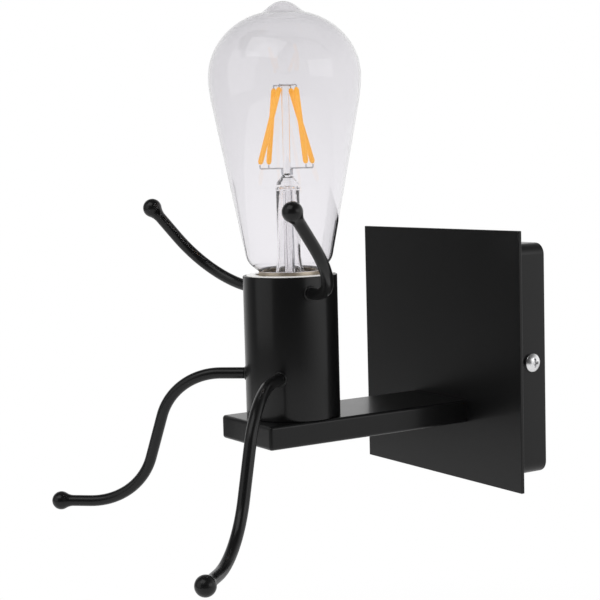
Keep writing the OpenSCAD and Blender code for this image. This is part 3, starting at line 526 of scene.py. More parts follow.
def finish_of(slot):
    """The material of a record slot, made once"""
    made = bpy.data.materials.get(slot)
    if made and made.get("lamp_finish"):
        return made
    if made:
        made.name = slot + "_plain"
    makers = {maker.__name__: maker for maker in FINISHES}
    made = makers[slot]()
    made["lamp_finish"] = True
    return made


def eased(outline, ease=0.0, closed=True, steps=4):
    """Outline whose corners are rounded; a corner may carry its own radius as a third number"""
    pts = []
    count = len(outline)
    edge_share = 0.49
    for i, corner in enumerate(outline):
        here = Vector(corner[:2])
        radius = corner[2] if len(corner) > 2 else ease
        if radius <= 0 or (not closed and i in (0, count - 1)):
            pts.append(tuple(here))
            continue
        back = Vector(outline[i - 1][:2]) - here
        ahead = Vector(outline[(i + 1) % count][:2]) - here
        reach = min(back.length, ahead.length) * edge_share
        back.normalize()
        ahead.normalize()
        half = back.angle(ahead) / 2
        cut = min(radius / math.tan(half), reach)
        radius = cut * math.tan(half)
        centre = here + (back + ahead).normalized() * radius / math.sin(half)
        first = here + back * cut - centre
        last = here + ahead * cut - centre
        turn = first.angle(last)
        for k in range(steps + 1):
            t = k / steps
            a = math.sin((1 - t) * turn) / math.sin(turn)
            b = math.sin(t * turn) / math.sin(turn)
            pts.append(tuple(centre + first * a + last * b))
    return pts


def rounded_rect(width, height, radius, steps=6):
    """Loop of a rectangle with round corners, about the middle"""
    x, z = width / 2, height / 2
    least_radius = 0.01
    return eased([(-x, -z), (x, -z), (x, z), (-x, z)], max(radius, least_radius), steps=steps)


def cubic(a, b, c, d, steps=20, first=0):
    """Points of a curve with two handles"""
    pts = []
    for i in range(first, steps + 1):
        t = i / steps
        u = 1 - t
        shares = (u * u * u, 3 * t * u * u, 3 * t * t * u, t * t * t)
        pts.append(tuple(sum(share * p[k] for share, p in zip(shares, (a, b, c, d))) for k in range(2)))
    return pts


def moved_in(pts, distance):
    """An outline that runs from the axis down, moved inwards"""
    moved = [(0.0, pts[0][1] - distance)]
    for i in range(1, len(pts)):
        along = (Vector(pts[min(i + 1, len(pts) - 1)]) - Vector(pts[i - 1])).normalized()
        moved.append((pts[i][0] + along.y * distance, pts[i][1] - along.x * distance))
    return moved


class Solid:
    """Points and faces of a piece, in millimetres"""

    def __init__(self):
        self.points = []
        self.faces = []

    def loops(self, loops, ring=False, caps=True, place=Matrix.Identity(4)):
        """Skins a row of loops that all have as many points"""
        start = len(self.points)
        count = len(loops[0])
        for loop in loops:
            self.points.extend(place @ Vector(point) for point in loop)
        rows = len(loops)
        for i in range(rows if ring else rows - 1):
            here = start + i * count
            ahead = start + (i + 1) % rows * count
            for k in range(count):
                n = (k + 1) % count
                self.faces.append((here + k, here + n, ahead + n, ahead + k))
        if caps and not ring:
            self.faces.append(tuple(range(start + count - 1, start - 1, -1)))
            self.faces.append(tuple(range(start + (rows - 1) * count, start + rows * count)))
        return self

    def lathe(self, outline, place=Matrix.Identity(4), ring=True, sides=None):
        """Turns an outline of radius and height about the local Z axis"""
        sides = sides or lamp_sizes().lathe_sides
        turns = [WHOLE_TURN * k / sides for k in range(sides)]
        loops = [[(r * math.cos(t), r * math.sin(t), z) for t in turns] for r, z in outline]
        return self.loops(loops, ring, False, place)

    def piece(self, name, smooth=SMOOTH):
        """Makes the object, merged and with its faces turned outwards"""
        mesh = bpy.data.meshes.new(name)
        mesh.from_pydata([point * MM for point in self.points], [], self.faces)
        shape = bmesh.new()
        shape.from_mesh(mesh)
        bmesh.ops.remove_doubles(shape, verts=shape.verts, dist=MERGE)
        bmesh.ops.dissolve_degenerate(shape, edges=shape.edges, dist=MERGE)
        bmesh.ops.recalc_face_normals(shape, faces=shape.faces)
        shape.to_mesh(mesh)
        shape.free()
        return placed(name, mesh, smooth)


def placed(name, mesh, smooth):
    """An object at the origin that holds this mesh"""
    soften(mesh, smooth)
    piece = bpy.data.objects.new(name, mesh)
    bpy.context.scene.collection.objects.link(piece)
    return piece


def soften(mesh, smooth):
    """Smooth shading up to an angle in degrees"""
    mesh.shade_smooth()
    mesh.set_sharp_from_angle(angle=math.radians(smooth))


def discard(piece):
    """Removes a helper object and its mesh"""
    mesh = piece.data
    bpy.data.objects.remove(piece)
    bpy.data.meshes.remove(mesh)


def settled(piece, smooth=SMOOTH):
    """Turns what the modifiers make into the piece's own mesh; no angle leaves its shading alone"""
    graph = bpy.context.evaluated_depsgraph_get()
    mesh = bpy.data.meshes.new_from_object(
        piece.evaluated_get(graph), preserve_all_data_layers=True, depsgraph=graph)
    old = piece.data
    piece.modifiers.clear()
    piece.data = mesh
    mesh.name = piece.name
    bpy.data.meshes.remove(old)
    if not len(mesh.polygons):
        raise RuntimeError(f"{piece.name} came out empty")
    if smooth:
        soften(mesh, smooth)
    return piece


def levelled(piece):
    """Lets large faces keep their flat shading beside rounded edges"""
    step = piece.modifiers.new("Level", "WEIGHTED_NORMAL")
    step.keep_sharp = True
    step.weight = FLAT_WEIGHT
    return settled(piece, smooth=None)


def dressed(node, ease):
    """A copy of a frame node, merged into whole faces, with its edges eased by so many millimetres"""
    shape = bmesh.new()
    shape.from_mesh(NODES[node].data)
    bmesh.ops.remove_doubles(shape, verts=shape.verts, dist=FRAME_MERGE)
    flat = math.radians(FLAT_ANGLE)
    bmesh.ops.dissolve_limit(shape, angle_limit=flat, verts=shape.verts, edges=shape.edges)
    shape.verts.index_update()
    mesh = bpy.data.meshes.new(node)
    faces = [[corner.index for corner in face.verts] for face in shape.faces]
    mesh.from_pydata([point.co.copy() for point in shape.verts], [], faces)
    shape.free()
    piece = placed("dressed_" + node, mesh, SMOOTH)
    bevel = piece.modifiers.new("Edges", "BEVEL")
    bevel.limit_method = "ANGLE"
    bevel.angle_limit = math.radians(BEVEL_ANGLE)
    bevel.width = ease * MM
    bevel.segments = BEVEL_STEPS
    bevel.use_clamp_overlap = False
    return levelled(settled(piece))


def stand_in(piece, *nodes, finish=None):
    """Gives a piece its material and its place in the frame"""
    slot = SLOT_OF[nodes[0]]
    piece.data.materials.clear()
    piece.data.materials.append(finish_of(finish or slot))
    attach(piece, BODY_OF[nodes[0]])
    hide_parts(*nodes)
    return piece


def dress(**eases):
    """Stands dressed copies in for frame nodes, each with its own edge easing in millimetres"""
    for node, ease in eases.items():
        stand_in(dressed(node, ease), node)


class Shaper(Graph):
    """A geometry node tree with named inputs"""

    def __init__(self, name, **inputs):
        super().__init__(bpy.data.node_groups.new(name, "GeometryNodeTree"))
        face = self.tree.interface
        face.new_socket("Geometry", in_out="OUTPUT", socket_type="NodeSocketGeometry")
        face.new_socket("Geometry", in_out="INPUT", socket_type="NodeSocketGeometry")
        for key, kind in inputs.items():
            face.new_socket(key.replace("_", " "), in_out="INPUT", socket_type="NodeSocket" + kind)
        self.entry = self.node("NodeGroupInput", out="Geometry")

    def merged(self, skin):
        """Joins points that lie on each other"""
        return self.node("GeometryNodeMergeByDistance", inputs={"Geometry": skin, "Distance": MERGE})

    def close(self, geometry):
        """Ends the tree: instances made real, material set"""
        real = self.node("GeometryNodeRealizeInstances", inputs=[geometry])
        dyed = self.node("GeometryNodeSetMaterial", inputs={0: real, 2: self.entry.of("Material")})
        self.node("NodeGroupOutput", inputs=[dyed])
        return self.tree


def shaped(name, mesh, maker, node, **values):
    """Runs a geometry tree on a mesh that isn't in the scene yet, and keeps the plain piece"""
    tree = bpy.data.node_groups.get(maker.__name__) or maker()
    piece = bpy.data.objects.new(name, mesh)
    step = piece.modifiers.new(tree.name, "NODES")
    step.node_group = tree
    values["Material"] = finish_of(SLOT_OF[node])
    for item in tree.interface.items_tree:
        key = item.name.replace(" ", "_")
        if item.in_out == "INPUT" and key in values:
            step[item.identifier] = values[key]
    bpy.context.scene.collection.objects.link(piece)
    return settled(piece)


def round_sweep():
    """Round rod along each run of edges, as thick as Thickness times the run's own girth"""
    make = Shaper("round_sweep", Thickness="Float", Sides="Int", Material="Material")
    girth = make.node("GeometryNodeInputNamedAttribute", {"data_type": "FLOAT"}, {"Name": "girth"})
    runs = make.node("GeometryNodeMeshToCurve", inputs=[make.entry])
    radius = girth * make.entry.of("Thickness") * 0.5
    circle = {"Resolution": make.entry.of("Sides"), "Radius": 1.0}
    ring = make.node("GeometryNodeCurvePrimitiveCircle", inputs=circle)
    around = (make.node("GeometryNodeSplineParameter") * WHOLE_TURN).cos()
    store = {"data_type": "FLOAT", "domain": "POINT"}
    mark = {"Geometry": ring, "Name": "around", "Value": around}
    ring = make.node("GeometryNodeStoreNamedAttribute", store, mark)
    rows = {"Curve": runs, "Profile Curve": ring, "Scale": radius, "Fill Caps": True}
    return make.close(make.merged(make.node("GeometryNodeCurveToMesh", inputs=rows)))


def swept(name, node, runs, thickness, sides):
    """A piece swept along runs; each run is a list of places in millimetres with a girth"""
    points, girths, edges = [], [], []
    for run in runs:
        start = len(points)
        points.extend(Vector(place) * MM for place, girth in run)
        girths.extend(girth for place, girth in run)
        edges.extend((start + i, start + i + 1) for i in range(len(run) - 1))
    mesh = bpy.data.meshes.new(name)
    mesh.from_pydata(points, edges, [])
    mesh.attributes.new("girth", "FLOAT", "POINT").data.foreach_set("value", girths)
    return shaped(name, mesh, round_sweep, node, Thickness=thickness, Sides=sides)


def turned_copies():
    """A copy of one object on every point, turned to the point's heading"""
    make = Shaper("turned_copies", Original="Object", Scale="Float", Material="Material")
    kind = {"data_type": "FLOAT_VECTOR"}
    heading = make.node("GeometryNodeInputNamedAttribute", kind, {"Name": "heading"})
    turn = make.node("FunctionNodeAlignRotationToVector", {"axis": "Z"}, {"Vector": heading})
    space = {"transform_space": "ORIGINAL"}
    original = {"Object": make.entry.of("Original")}
    shape = make.node("GeometryNodeObjectInfo", space, original, "Geometry")
    rows = {"Points": make.entry, "Instance": shape, "Rotation": turn, "Scale": make.entry.of("Scale")}
    return make.close(make.node("GeometryNodeInstanceOnPoints", inputs=rows))


def copied(name, node, original, spots):
    """A piece made of copies of an object on spots, each a place in millimetres and a heading"""
    mesh = bpy.data.meshes.new(name)
    mesh.from_pydata([Vector(place) * MM for place, heading in spots], [], [])
    headings = [part for place, heading in spots for part in Vector(heading).normalized()]
    mesh.attributes.new("heading", "FLOAT_VECTOR", "POINT").data.foreach_set("vector", headings)
    piece = shaped(name, mesh, turned_copies, node, Original=original, Scale=1.0)
    discard(original)
    return piece


def rolled_thread():
    """Sheet rolled into a screw thread, with a plain foot and a plain top"""
    lengths = ("Root", "Crest", "Pitch", "Height", "Foot", "Top", "Top_Swell", "Base", "Out")
    kinds = {key: "Float" for key in lengths}
    make = Shaper("rolled_thread", **kinds, Around="Int", Along="Int", Material="Material")
    given = make.entry.of
    size = {"Size X": 1.0, "Size Y": 1.0, "Vertices X": given("Around"), "Vertices Y": given("Along")}
    grid = make.node("GeometryNodeMeshGrid", inputs=size)
    place = make.node("ShaderNodeSeparateXYZ", inputs=[make.node("GeometryNodeInputPosition")])
    share = place + 0.5
    height = (place.of("Y") + 0.5) * given("Height")
    pitch, foot, root = given("Pitch"), given("Foot"), given("Root")
    turn = share * WHOLE_TURN
    wave = 0.5 - 0.5 * ((height / pitch - share) * WHOLE_TURN).cos()
    plain = given("Height") - given("Top")
    run_out, run_up = 0.6 * pitch, 0.3 * pitch
    fade = height.ease(foot, foot + run_out).least(height.ease(plain - run_out, plain, 1.0, 0.0))
    swell = height.ease(plain, plain + run_up) * given("Top Swell")
    radius = root + (given("Crest") - root) * (wave * fade).most(swell)
    spot = [radius * turn.cos(), radius * turn.sin() - given("Out"), height + given("Base")]
    spot = make.node("ShaderNodeCombineXYZ", inputs=spot)
    skin = make.node("GeometryNodeSetPosition", inputs={"Geometry": grid, "Position": spot})
    return make.close(make.merged(skin))


def threaded(name, node, sheet, offset, swell=0.0, **sizes):
    """A rolled thread with the thickness of its sheet"""
    values = {key: value * MM for key, value in sizes.items()}
    values.update(Pitch=lamp_sizes().thread_pitch, Out=TUBE_OUT * MM, Top_Swell=swell)
    values.update(Around=THREAD_AROUND, Along=THREAD_ALONG)
    piece = shaped(name, bpy.data.meshes.new(name), rolled_thread, node, **values)
    shape = bmesh.new()
    shape.from_mesh(piece.data)
    bmesh.ops.recalc_face_normals(shape, faces=shape.faces)
    face = max(shape.faces, key=lambda face: face.calc_area())
    out = face.calc_center_median() - Vector((0, -TUBE_OUT * MM, 0))
    if face.normal.x * out.x + face.normal.y * out.y < 0:
        bmesh.ops.reverse_faces(shape, faces=shape.faces)
    shape.to_mesh(piece.data)
    shape.free()
    wall = piece.modifiers.new("Sheet", "SOLIDIFY")
    wall.thickness = sheet * MM
    wall.offset = offset
    return settled(piece, THREAD_SMOOTH)


def way_out(limb):
    """Direction in which a limb leaves the tube"""
    heading = math.radians(limb.heading)
    return Vector((limb.side * math.sin(heading), -math.cos(heading), 0))


def ball_outline(rod, ball, fillet):
    """Places along the limb and radii, from the hollow neck over the ball to its tip"""
    neck = math.sqrt((ball + fillet) ** 2 - (rod + fillet) ** 2)
    touch = math.atan2(rod + fillet, -neck)
    start, end = -QUARTER_TURN, touch - math.pi
    pts = []
    for k in range(NECK_STEPS + 1):
        angle = start + (end - start) * k / NECK_STEPS
        pts.append((-neck + fillet * math.cos(angle), rod + fillet + fillet * math.sin(angle)))
    for k in range(1, BALL_STEPS + 1):
        angle = touch * (1 - k / BALL_STEPS)
        pts.append((ball * math.cos(angle), ball * math.sin(angle)))
    return pts


def limb_path(limb):
    """Places and girths of a limb, from inside its collar to the tip of its ball"""
    rod = mm("rod_d") / 2
    out = way_out(limb)
    lean = math.radians(limb.side * limb.lean)
    rise = UP * math.cos(lean) - UP.cross(out) * math.sin(lean)
    root = Vector((0, -TUBE_OUT, limb.height))
    flat = [
        (TUBE_IN, 0.0, JOURNAL_R),
        (SOCKET_FACE, 0.0, JOURNAL_R),
        (SHOULDER, 0.0, rod - ROD_EASE),
        (SHOULDER + ROD_EASE, 0.0, rod),
    ]
    x, z, turn = SHOULDER, 0.0, 0.0
    for step in limb.steps:
        x += step.run * math.cos(turn)
        z += step.run * math.sin(turn)
        if not step.bend:
            continue
        flat.append((x, z, rod))
        swing = math.copysign(step.bend_r, step.bend)
        count = round(abs(step.bend) / BEND_STEP)
        for k in range(1, count + 1):
            ahead = turn + math.radians(step.bend) * k / count
            along = swing * (math.sin(ahead) - math.sin(turn))
            across = swing * (math.cos(turn) - math.cos(ahead))
            flat.append((x + along, z + across, rod))
        x, z, _ = flat[-1]
        turn += math.radians(step.bend)
    for along, radius in ball_outline(rod, mm("ball_d") / 2, mm("neck_fillet")):
        flat.append((x + along * math.cos(turn), z + along * math.sin(turn), radius))
    return [(root + out * px + rise * pz, girth / rod) for px, pz, girth in flat]


def pan_screw(size):
    """Pan-head screw with a cross recess: the head stands on z = 0, the shank goes down"""
    shank_r, head_r = size.shank_d / 2, size.head_d / 2
    dome = 0.72 * size.head_d
    rings = [head_r * k / DOME_STEPS for k in range(DOME_STEPS + 1)]
    crown = [(r, size.head_h - dome + math.sqrt(dome * dome - r * r)) for r in rings]
    brim, under, point = 0.05 * size.head_d, 0.02 * size.head_d, 0.12 * size.shank_d
    lower = [
        crown[-2], (*crown[-1], brim), (head_r, 0.0, under), (shank_r, 0.0),
        (shank_r, point - size.length), (shank_r - point, -size.length), (0.0, -size.length),
    ]
    outline = crown[:-2] + eased(lower, closed=False, steps=3)
    screw = Solid().lathe(outline, ring=False, sides=SCREW_SIDES).piece("screw_blank")
    top_l, top_w, low_l, low_w = (share * size.head_d for share in (0.315, 0.075, 0.12, 0.0577))
    deep, clear = 0.55 * size.head_h, 0.2
    ends = ((-1, -1), (1, -1), (1, 1), (-1, 1))
    top = [(x * top_l, y * top_w, size.head_h + clear) for x, y in ends]
    low = [(x * low_l, y * low_w, size.head_h - deep) for x, y in ends]
    for turn in (0.0, QUARTER_TURN):
        slot = Solid().loops([low, top], place=Matrix.Rotation(turn, 4, "Z")).piece("slot")
        cut = screw.modifiers.new("Cross", "BOOLEAN")
        cut.operation = "DIFFERENCE"
        cut.solver = "EXACT"
        cut.object = slot
        settled(screw)
        discard(slot)
    return screw


def smooth_route(points, steps=8):
    """Smooth places through given points"""
    pts = [Vector(point) for point in points]
    last = len(pts) - 1
    route = []
    for i in range(last):
        a, b, c, d = pts[max(i - 1, 0)], pts[i], pts[i + 1], pts[min(i + 2, last)]
        for k in range(steps):
            t = k / steps
            square = (2 * a - 5 * b + 4 * c - d) * t * t
            cube = (3 * b - a - 3 * c + d) * t * t * t
            route.append(0.5 * (2 * b + (c - a) * t + square + cube))
    return route + [pts[last]]


def supply_route(side, end_y):
    """Way of a supply wire from its pole of the terminal block to the lampholder"""
    pole_x, x, bend, lift = side * 9.0, side * 1.2, 5.0, 1.7
    run_z = BAR_LOW.z + BAR_WALL + lift
    end = end_y - TUBE_OUT
    arc = [math.radians(turn) for turn in (0, 30, 60, 90)]
    return [
        (pole_x, BLOCK.y, 22.5),
        (pole_x, BLOCK.y, 16.0),
        (side * 5.1, BLOCK.y, -2.0),
        (x, BLOCK.y - 1, -20.0),
        (x, -15.0, -24.2),
        (x, PANEL_FRONT, BAR_Z),
        (x, PLUG_END, BAR_Z),
        (x, PLUG_END - 10, run_z),
        (x, 10 - TUBE_OUT, run_z),
        *((x, bend * (1 - math.sin(a)) - TUBE_OUT, run_z + bend * (1 - math.cos(a))) for a in arc),
        (x, -TUBE_OUT, TUBE_FOOT),
        (x, -TUBE_OUT, HOLDER_BOTTOM - 2),
        (x / 2, end_y / 2 - TUBE_OUT, -4.6),
        (0, end, -2.25),
        (0, end, -0.75),
        (0, end, -0.25),
    ]


def earth_route():
    """Way of the earth wire from the terminal block to its tag"""
    return [
        (0, BLOCK.y, 22.5), (0, BLOCK.y, 18), (0, BLOCK.y, 16), (EARTH_X / 2, -6.9, 14),
        (EARTH_X, -3, 11), (EARTH_X, -3, 9.5), (EARTH_X, -3, 7),
    ]


def glass_outline():
    """Outside of the bulb glass above its seat, from the tip down to the neck"""
    slope = math.tan(math.radians(TAPER))
    tip_h = GLASS_H - TIP_DROP
    foot_r = TAPER_TOP_R - (TAPER_TOP_H - TAPER_FOOT_H) * slope
    tip, brow, widest = (TIP_R, tip_h), (BULB_R, WIDEST_H + BROW_RISE), (BULB_R, WIDEST_H)
    top, foot, neck_ease = (TAPER_TOP_R, TAPER_TOP_H), (foot_r, TAPER_FOOT_H), (NECK_EASE_R, NECK_EASE_H)

    def lower(point, drop):
        """A point farther down along the taper"""
        return point[0] - drop * slope, point[1] - drop

    return (
        cubic((0, GLASS_H), (TIP_FLAT, GLASS_H), (TIP_FLANK_R, GLASS_H - TIP_FLANK_DROP), tip)
        + cubic(tip, (CROWN_R, tip_h - CROWN_DROP), brow, widest, steps=28, first=1)
        + cubic(widest, (BULB_R, WIDEST_H - TAPER_EASE), lower(top, -TAPER_EASE), top, steps=12, first=1)
        + cubic(top, lower(top, TAPER_HOLD), lower(foot, -TAPER_HOLD), foot, steps=12, first=1)
        + cubic(foot, lower(foot, FOOT_EASE), neck_ease, (NECK_R, 0.0), steps=18, first=1)
    )


def stem_outline(rod_top):
    """Section of the glass stem: a flare in the neck, a tube with a pressed bead and a thin rod"""
    tube_r, wall, waist_r, rod_r = 4.9, 0.8, 8.0, 1.6
    flare_r = NECK_IN_R - mm("glass_t")
    lip, bend, rise = -5.0, -1.0, 8.0

    def flare(inset):
        """Curve from the neck up to the tube, moved in by the wall for the inside"""
        rows = ((flare_r, NECK_LOW), (waist_r, lip), (tube_r, bend), (tube_r, rise))
        return cubic(*((r - inset, z) for r, z in rows))

    # Radius, height and rounding of each corner
    bead = [
        (tube_r, 30.0), (tube_r, 33.4, 1.0), (5.3, 35.0, 0.6), (4.6, 37.2, 0.8), (2.9, 39.2, 0.8),
        (rod_r, 41.0, 0.8), (rod_r, rod_top, 0.6), (0.0, rod_top),
    ]
    crown = [(0.0, 35.8), (3.0, 35.6), (tube_r - wall, 34.4)]
    return flare(0.0) + eased(bead, closed=False) + crown + flare(wall)[::-1]


class LAMP_OT_wall_box(bpy.types.Operator):
    """Makes the coated wall box and its square front panel"""

    bl_idname = "lamp.wall_box"
    bl_label = "Wall box and panel"

    def execute(self, context):
        dress(wall_box=mm("bend_ease"), front_panel=mm("sheet_ease"))
        return {"FINISHED"}


class LAMP_OT_wall_bracket(bpy.types.Operator):
    """Makes the zinc bracket, the earth tag and the small fixings of the bar"""

    bl_idname = "lamp.wall_bracket"
    bl_label = "Bracket and fixings"

    def execute(self, context):
        dress(wall_bracket=0.25, earth_tag=0.12, bar_rear_plug=0.3, cable_bush=0.3)
        dress(nipple=0.2, bar_nut=0.35, tube_nut=0.35, holder_foot=0.25)
        return {"FINISHED"}


class LAMP_OT_terminals(bpy.types.Operator):
    """Makes the terminal block with its clamps and grub screws"""

    bl_idname = "lamp.terminals"
    bl_label = "Terminal block"

    def execute(self, context):
        dress(terminal_block=0.4, terminal_clamps=0.12, clamp_screws=0.1)
        return {"FINISHED"}


class LAMP_OT_arm_bar(bpy.types.Operator):
    """Makes the flat bar and its closed, rounded end as one coated piece"""

    bl_idname = "lamp.arm_bar"
    bl_label = "Arm bar"

    def execute(self, context):
        edge = mm("bar_edge")
        inner = rounded_rect(BAR_W - 2 * BAR_WALL, BAR_T - 2 * BAR_WALL, BAR_INNER_EDGE)
        outer = rounded_rect(BAR_W, BAR_T, edge)
        rows = [(inner, BAR_LOW.y), (inner, PANEL_FRONT), (outer, PANEL_FRONT), (outer, BAR_END + edge)]
        steps = 6
        for k in range(1, steps + 1):
            turn = QUARTER_TURN * k / steps
            inset = edge * (1 - math.cos(turn))
            loop = rounded_rect(BAR_W - 2 * inset, BAR_T - 2 * inset, edge - inset)
            rows.append((loop, BAR_END + edge * (1 - math.sin(turn))))
        shape = Solid().loops([[(x, y, z + BAR_Z) for x, z in loop] for loop, y in rows])
        stand_in(levelled(shape.piece("arm_bar_coated")), "arm_bar", "bar_end_cap")
        return {"FINISHED"}


class LAMP_OT_body_tube(bpy.types.Operator):
    """Makes the upright tube and the collars round the limb roots"""

    bl_idname = "lamp.body_tube"
    bl_label = "Body tube"

    def execute(self, context):
        lip, floor = mm("tube_lip"), TUBE_FOOT + TUBE_BASE
        outline = eased([
            (TUBE_R, TUBE_FOOT, lip), (TUBE_R, TUBE_RIM, lip),
            (TUBE_IN, TUBE_RIM, lip), (TUBE_IN, floor, lip),
            (NIPPLE_HOLE_R, floor, NIPPLE_HOLE_EASE), (NIPPLE_HOLE_R, TUBE_FOOT, NIPPLE_HOLE_EASE),
        ])
        stand_in(Solid().lathe(outline, AT_TUBE).piece("body_tube_coated"), "body_tube")
        outline = eased([
            (SOCKET_BORE_R, TUBE_IN), (SOCKET_R, TUBE_IN), (SOCKET_R, SOCKET_FACE, mm("collar_ease")),
            (SOCKET_BORE_R, SOCKET_FACE, SOCKET_BORE_EASE),
        ])
        collar = Solid().lathe(outline, sides=COLLAR_SIDES).piece("collar")
        spots = [((0, -TUBE_OUT, limb.height), way_out(limb)) for limb in LIMBS.values()]
        stand_in(copied("limb_collars", "limb_sockets", collar, spots), "limb_sockets")
        return {"FINISHED"}


class LAMP_OT_limbs(bpy.types.Operator):
    """Makes the four bent limbs, each with the ball on its end"""

    bl_idname = "lamp.limbs"
    bl_label = "Arms and legs"

    def execute(self, context):
        sizes = lamp_sizes()
        for name, limb in LIMBS.items():
            rod, ball = name + "_rod", name + "_ball"
            piece = swept(name + "_coated", rod, [limb_path(limb)], sizes.rod_d, sizes.rod_sides)
            stand_in(piece, rod, ball)
        return {"FINISHED"}


class LAMP_OT_lampholder(bpy.types.Operator):
    """Makes the porcelain lampholder with its screw shell and centre spring"""

    bl_idname = "lamp.lampholder"
    bl_label = "Lampholder"

    def execute(self, context):
        dress(holder_body=0.5, contact_spring=0.1)
        crest = SHELL_HIGH.x - SHELL_SHEET
        root, height = crest - THREAD_ROOT_DROP, SHELL_HIGH.z - SHELL_LOW.z
        shell = threaded(
            "screw_shell_rolled", "screw_shell", sheet=SHELL_SHEET, offset=1.0, Root=root, Crest=crest,
            Height=height, Foot=SHELL_FOOT, Top=SHELL_LIP, Base=SHELL_LOW.z)
        stand_in(shell, "screw_shell")
        return {"FINISHED"}


class LAMP_OT_screws(bpy.types.Operator):
    """Makes every pan-head screw as copies on their seats"""

    bl_idname = "lamp.screws"
    bl_label = "Screws"

    def execute(self, context):
        earth_seat = -SCREWS["earth_screw"].length
        seats = {
            "side_screws": [((side * BOX_HALF, *SIDE_SCREW.yz), (side, 0, 0)) for side in SIDES],
            "bar_screws": [((side * BAR_SCREW_X, BLOCK_LOW.y, BAR_Z), TO_WALL) for side in SIDES],
            "block_screw": [((BLOCK_SCREW_X, BLOCK_HIGH.y, BLOCK.z), TO_WALL)],
            "earth_screw": [((EARTH_X, earth_seat, 0.0), FROM_WALL)],
            "foot_screws": [((side * POST_X, -TUBE_OUT, FOOT_BOTTOM), DOWN) for side in SIDES],
            "holder_terminals": [((0, side * TERMINAL_Y - TUBE_OUT, RECESS_TOP), DOWN) for side in SIDES],
        }
        for node, spots in seats.items():
            stand_in(copied(node + "_cut", node, pan_screw(SCREWS[node]), spots), node)
        return {"FINISHED"}


class LAMP_OT_wires(bpy.types.Operator):
    """Makes the three insulated wires inside the lamp"""

    bl_idname = "lamp.wires"
    bl_label = "Inner wires"

    sides = 18

    def execute(self, context):
        routes = {
            "live_wire": supply_route(LEFT, TERMINAL_Y),
            "neutral_wire": supply_route(RIGHT, -TERMINAL_Y),
            "earth_wire": earth_route(),
        }
        for node, route in routes.items():
            run = [(place, 1.0) for place in smooth_route(route)]
            piece = swept(node + "_sheathed", node, [run], lamp_sizes().wire_d, self.sides)
            stand_in(piece, node)
        return {"FINISHED"}


class LAMP_OT_bulb_glass(bpy.types.Operator):
    """Blows the clear pear-shaped glass of the bulb and sets it in its ring of cement"""

    bl_idname = "lamp.bulb_glass"
    bl_label = "Bulb glass"

    sides = 160
    # Ring of cement, in millimetres, its heights from the bulb's seat
    cement_in_r, cement_out_r, cement_low, cement_top, cement_ease = 12.3, 12.7, -5.6, -0.15, 0.08

    def execute(self, context):
        wall = mm("glass_t")
        outer = glass_outline()
        bore = NECK_IN_R - wall
        neck = [(NECK_IN_R, 0.0), (NECK_IN_R, NECK_LOW), (bore, NECK_LOW), (bore, 0.0)]
        outline = outer + neck + moved_in(outer, wall)[::-1]
        glass = Solid().lathe(outline, AT_BULB, ring=False, sides=self.sides)
        stand_in(glass.piece("bulb_glass_blown", GLASS_SMOOTH), "bulb_glass")
        ring = eased([
            (self.cement_in_r, self.cement_low), (self.cement_out_r, self.cement_low),
            (self.cement_out_r, self.cement_top), (self.cement_in_r, self.cement_top),
        ], self.cement_ease)
        ring = Solid().lathe(ring, AT_BULB).piece("cap_cement")
        ring.data.materials.append(finish_of("cement"))
        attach(ring, BODY_OF["bulb_glass"])
        return {"FINISHED"}


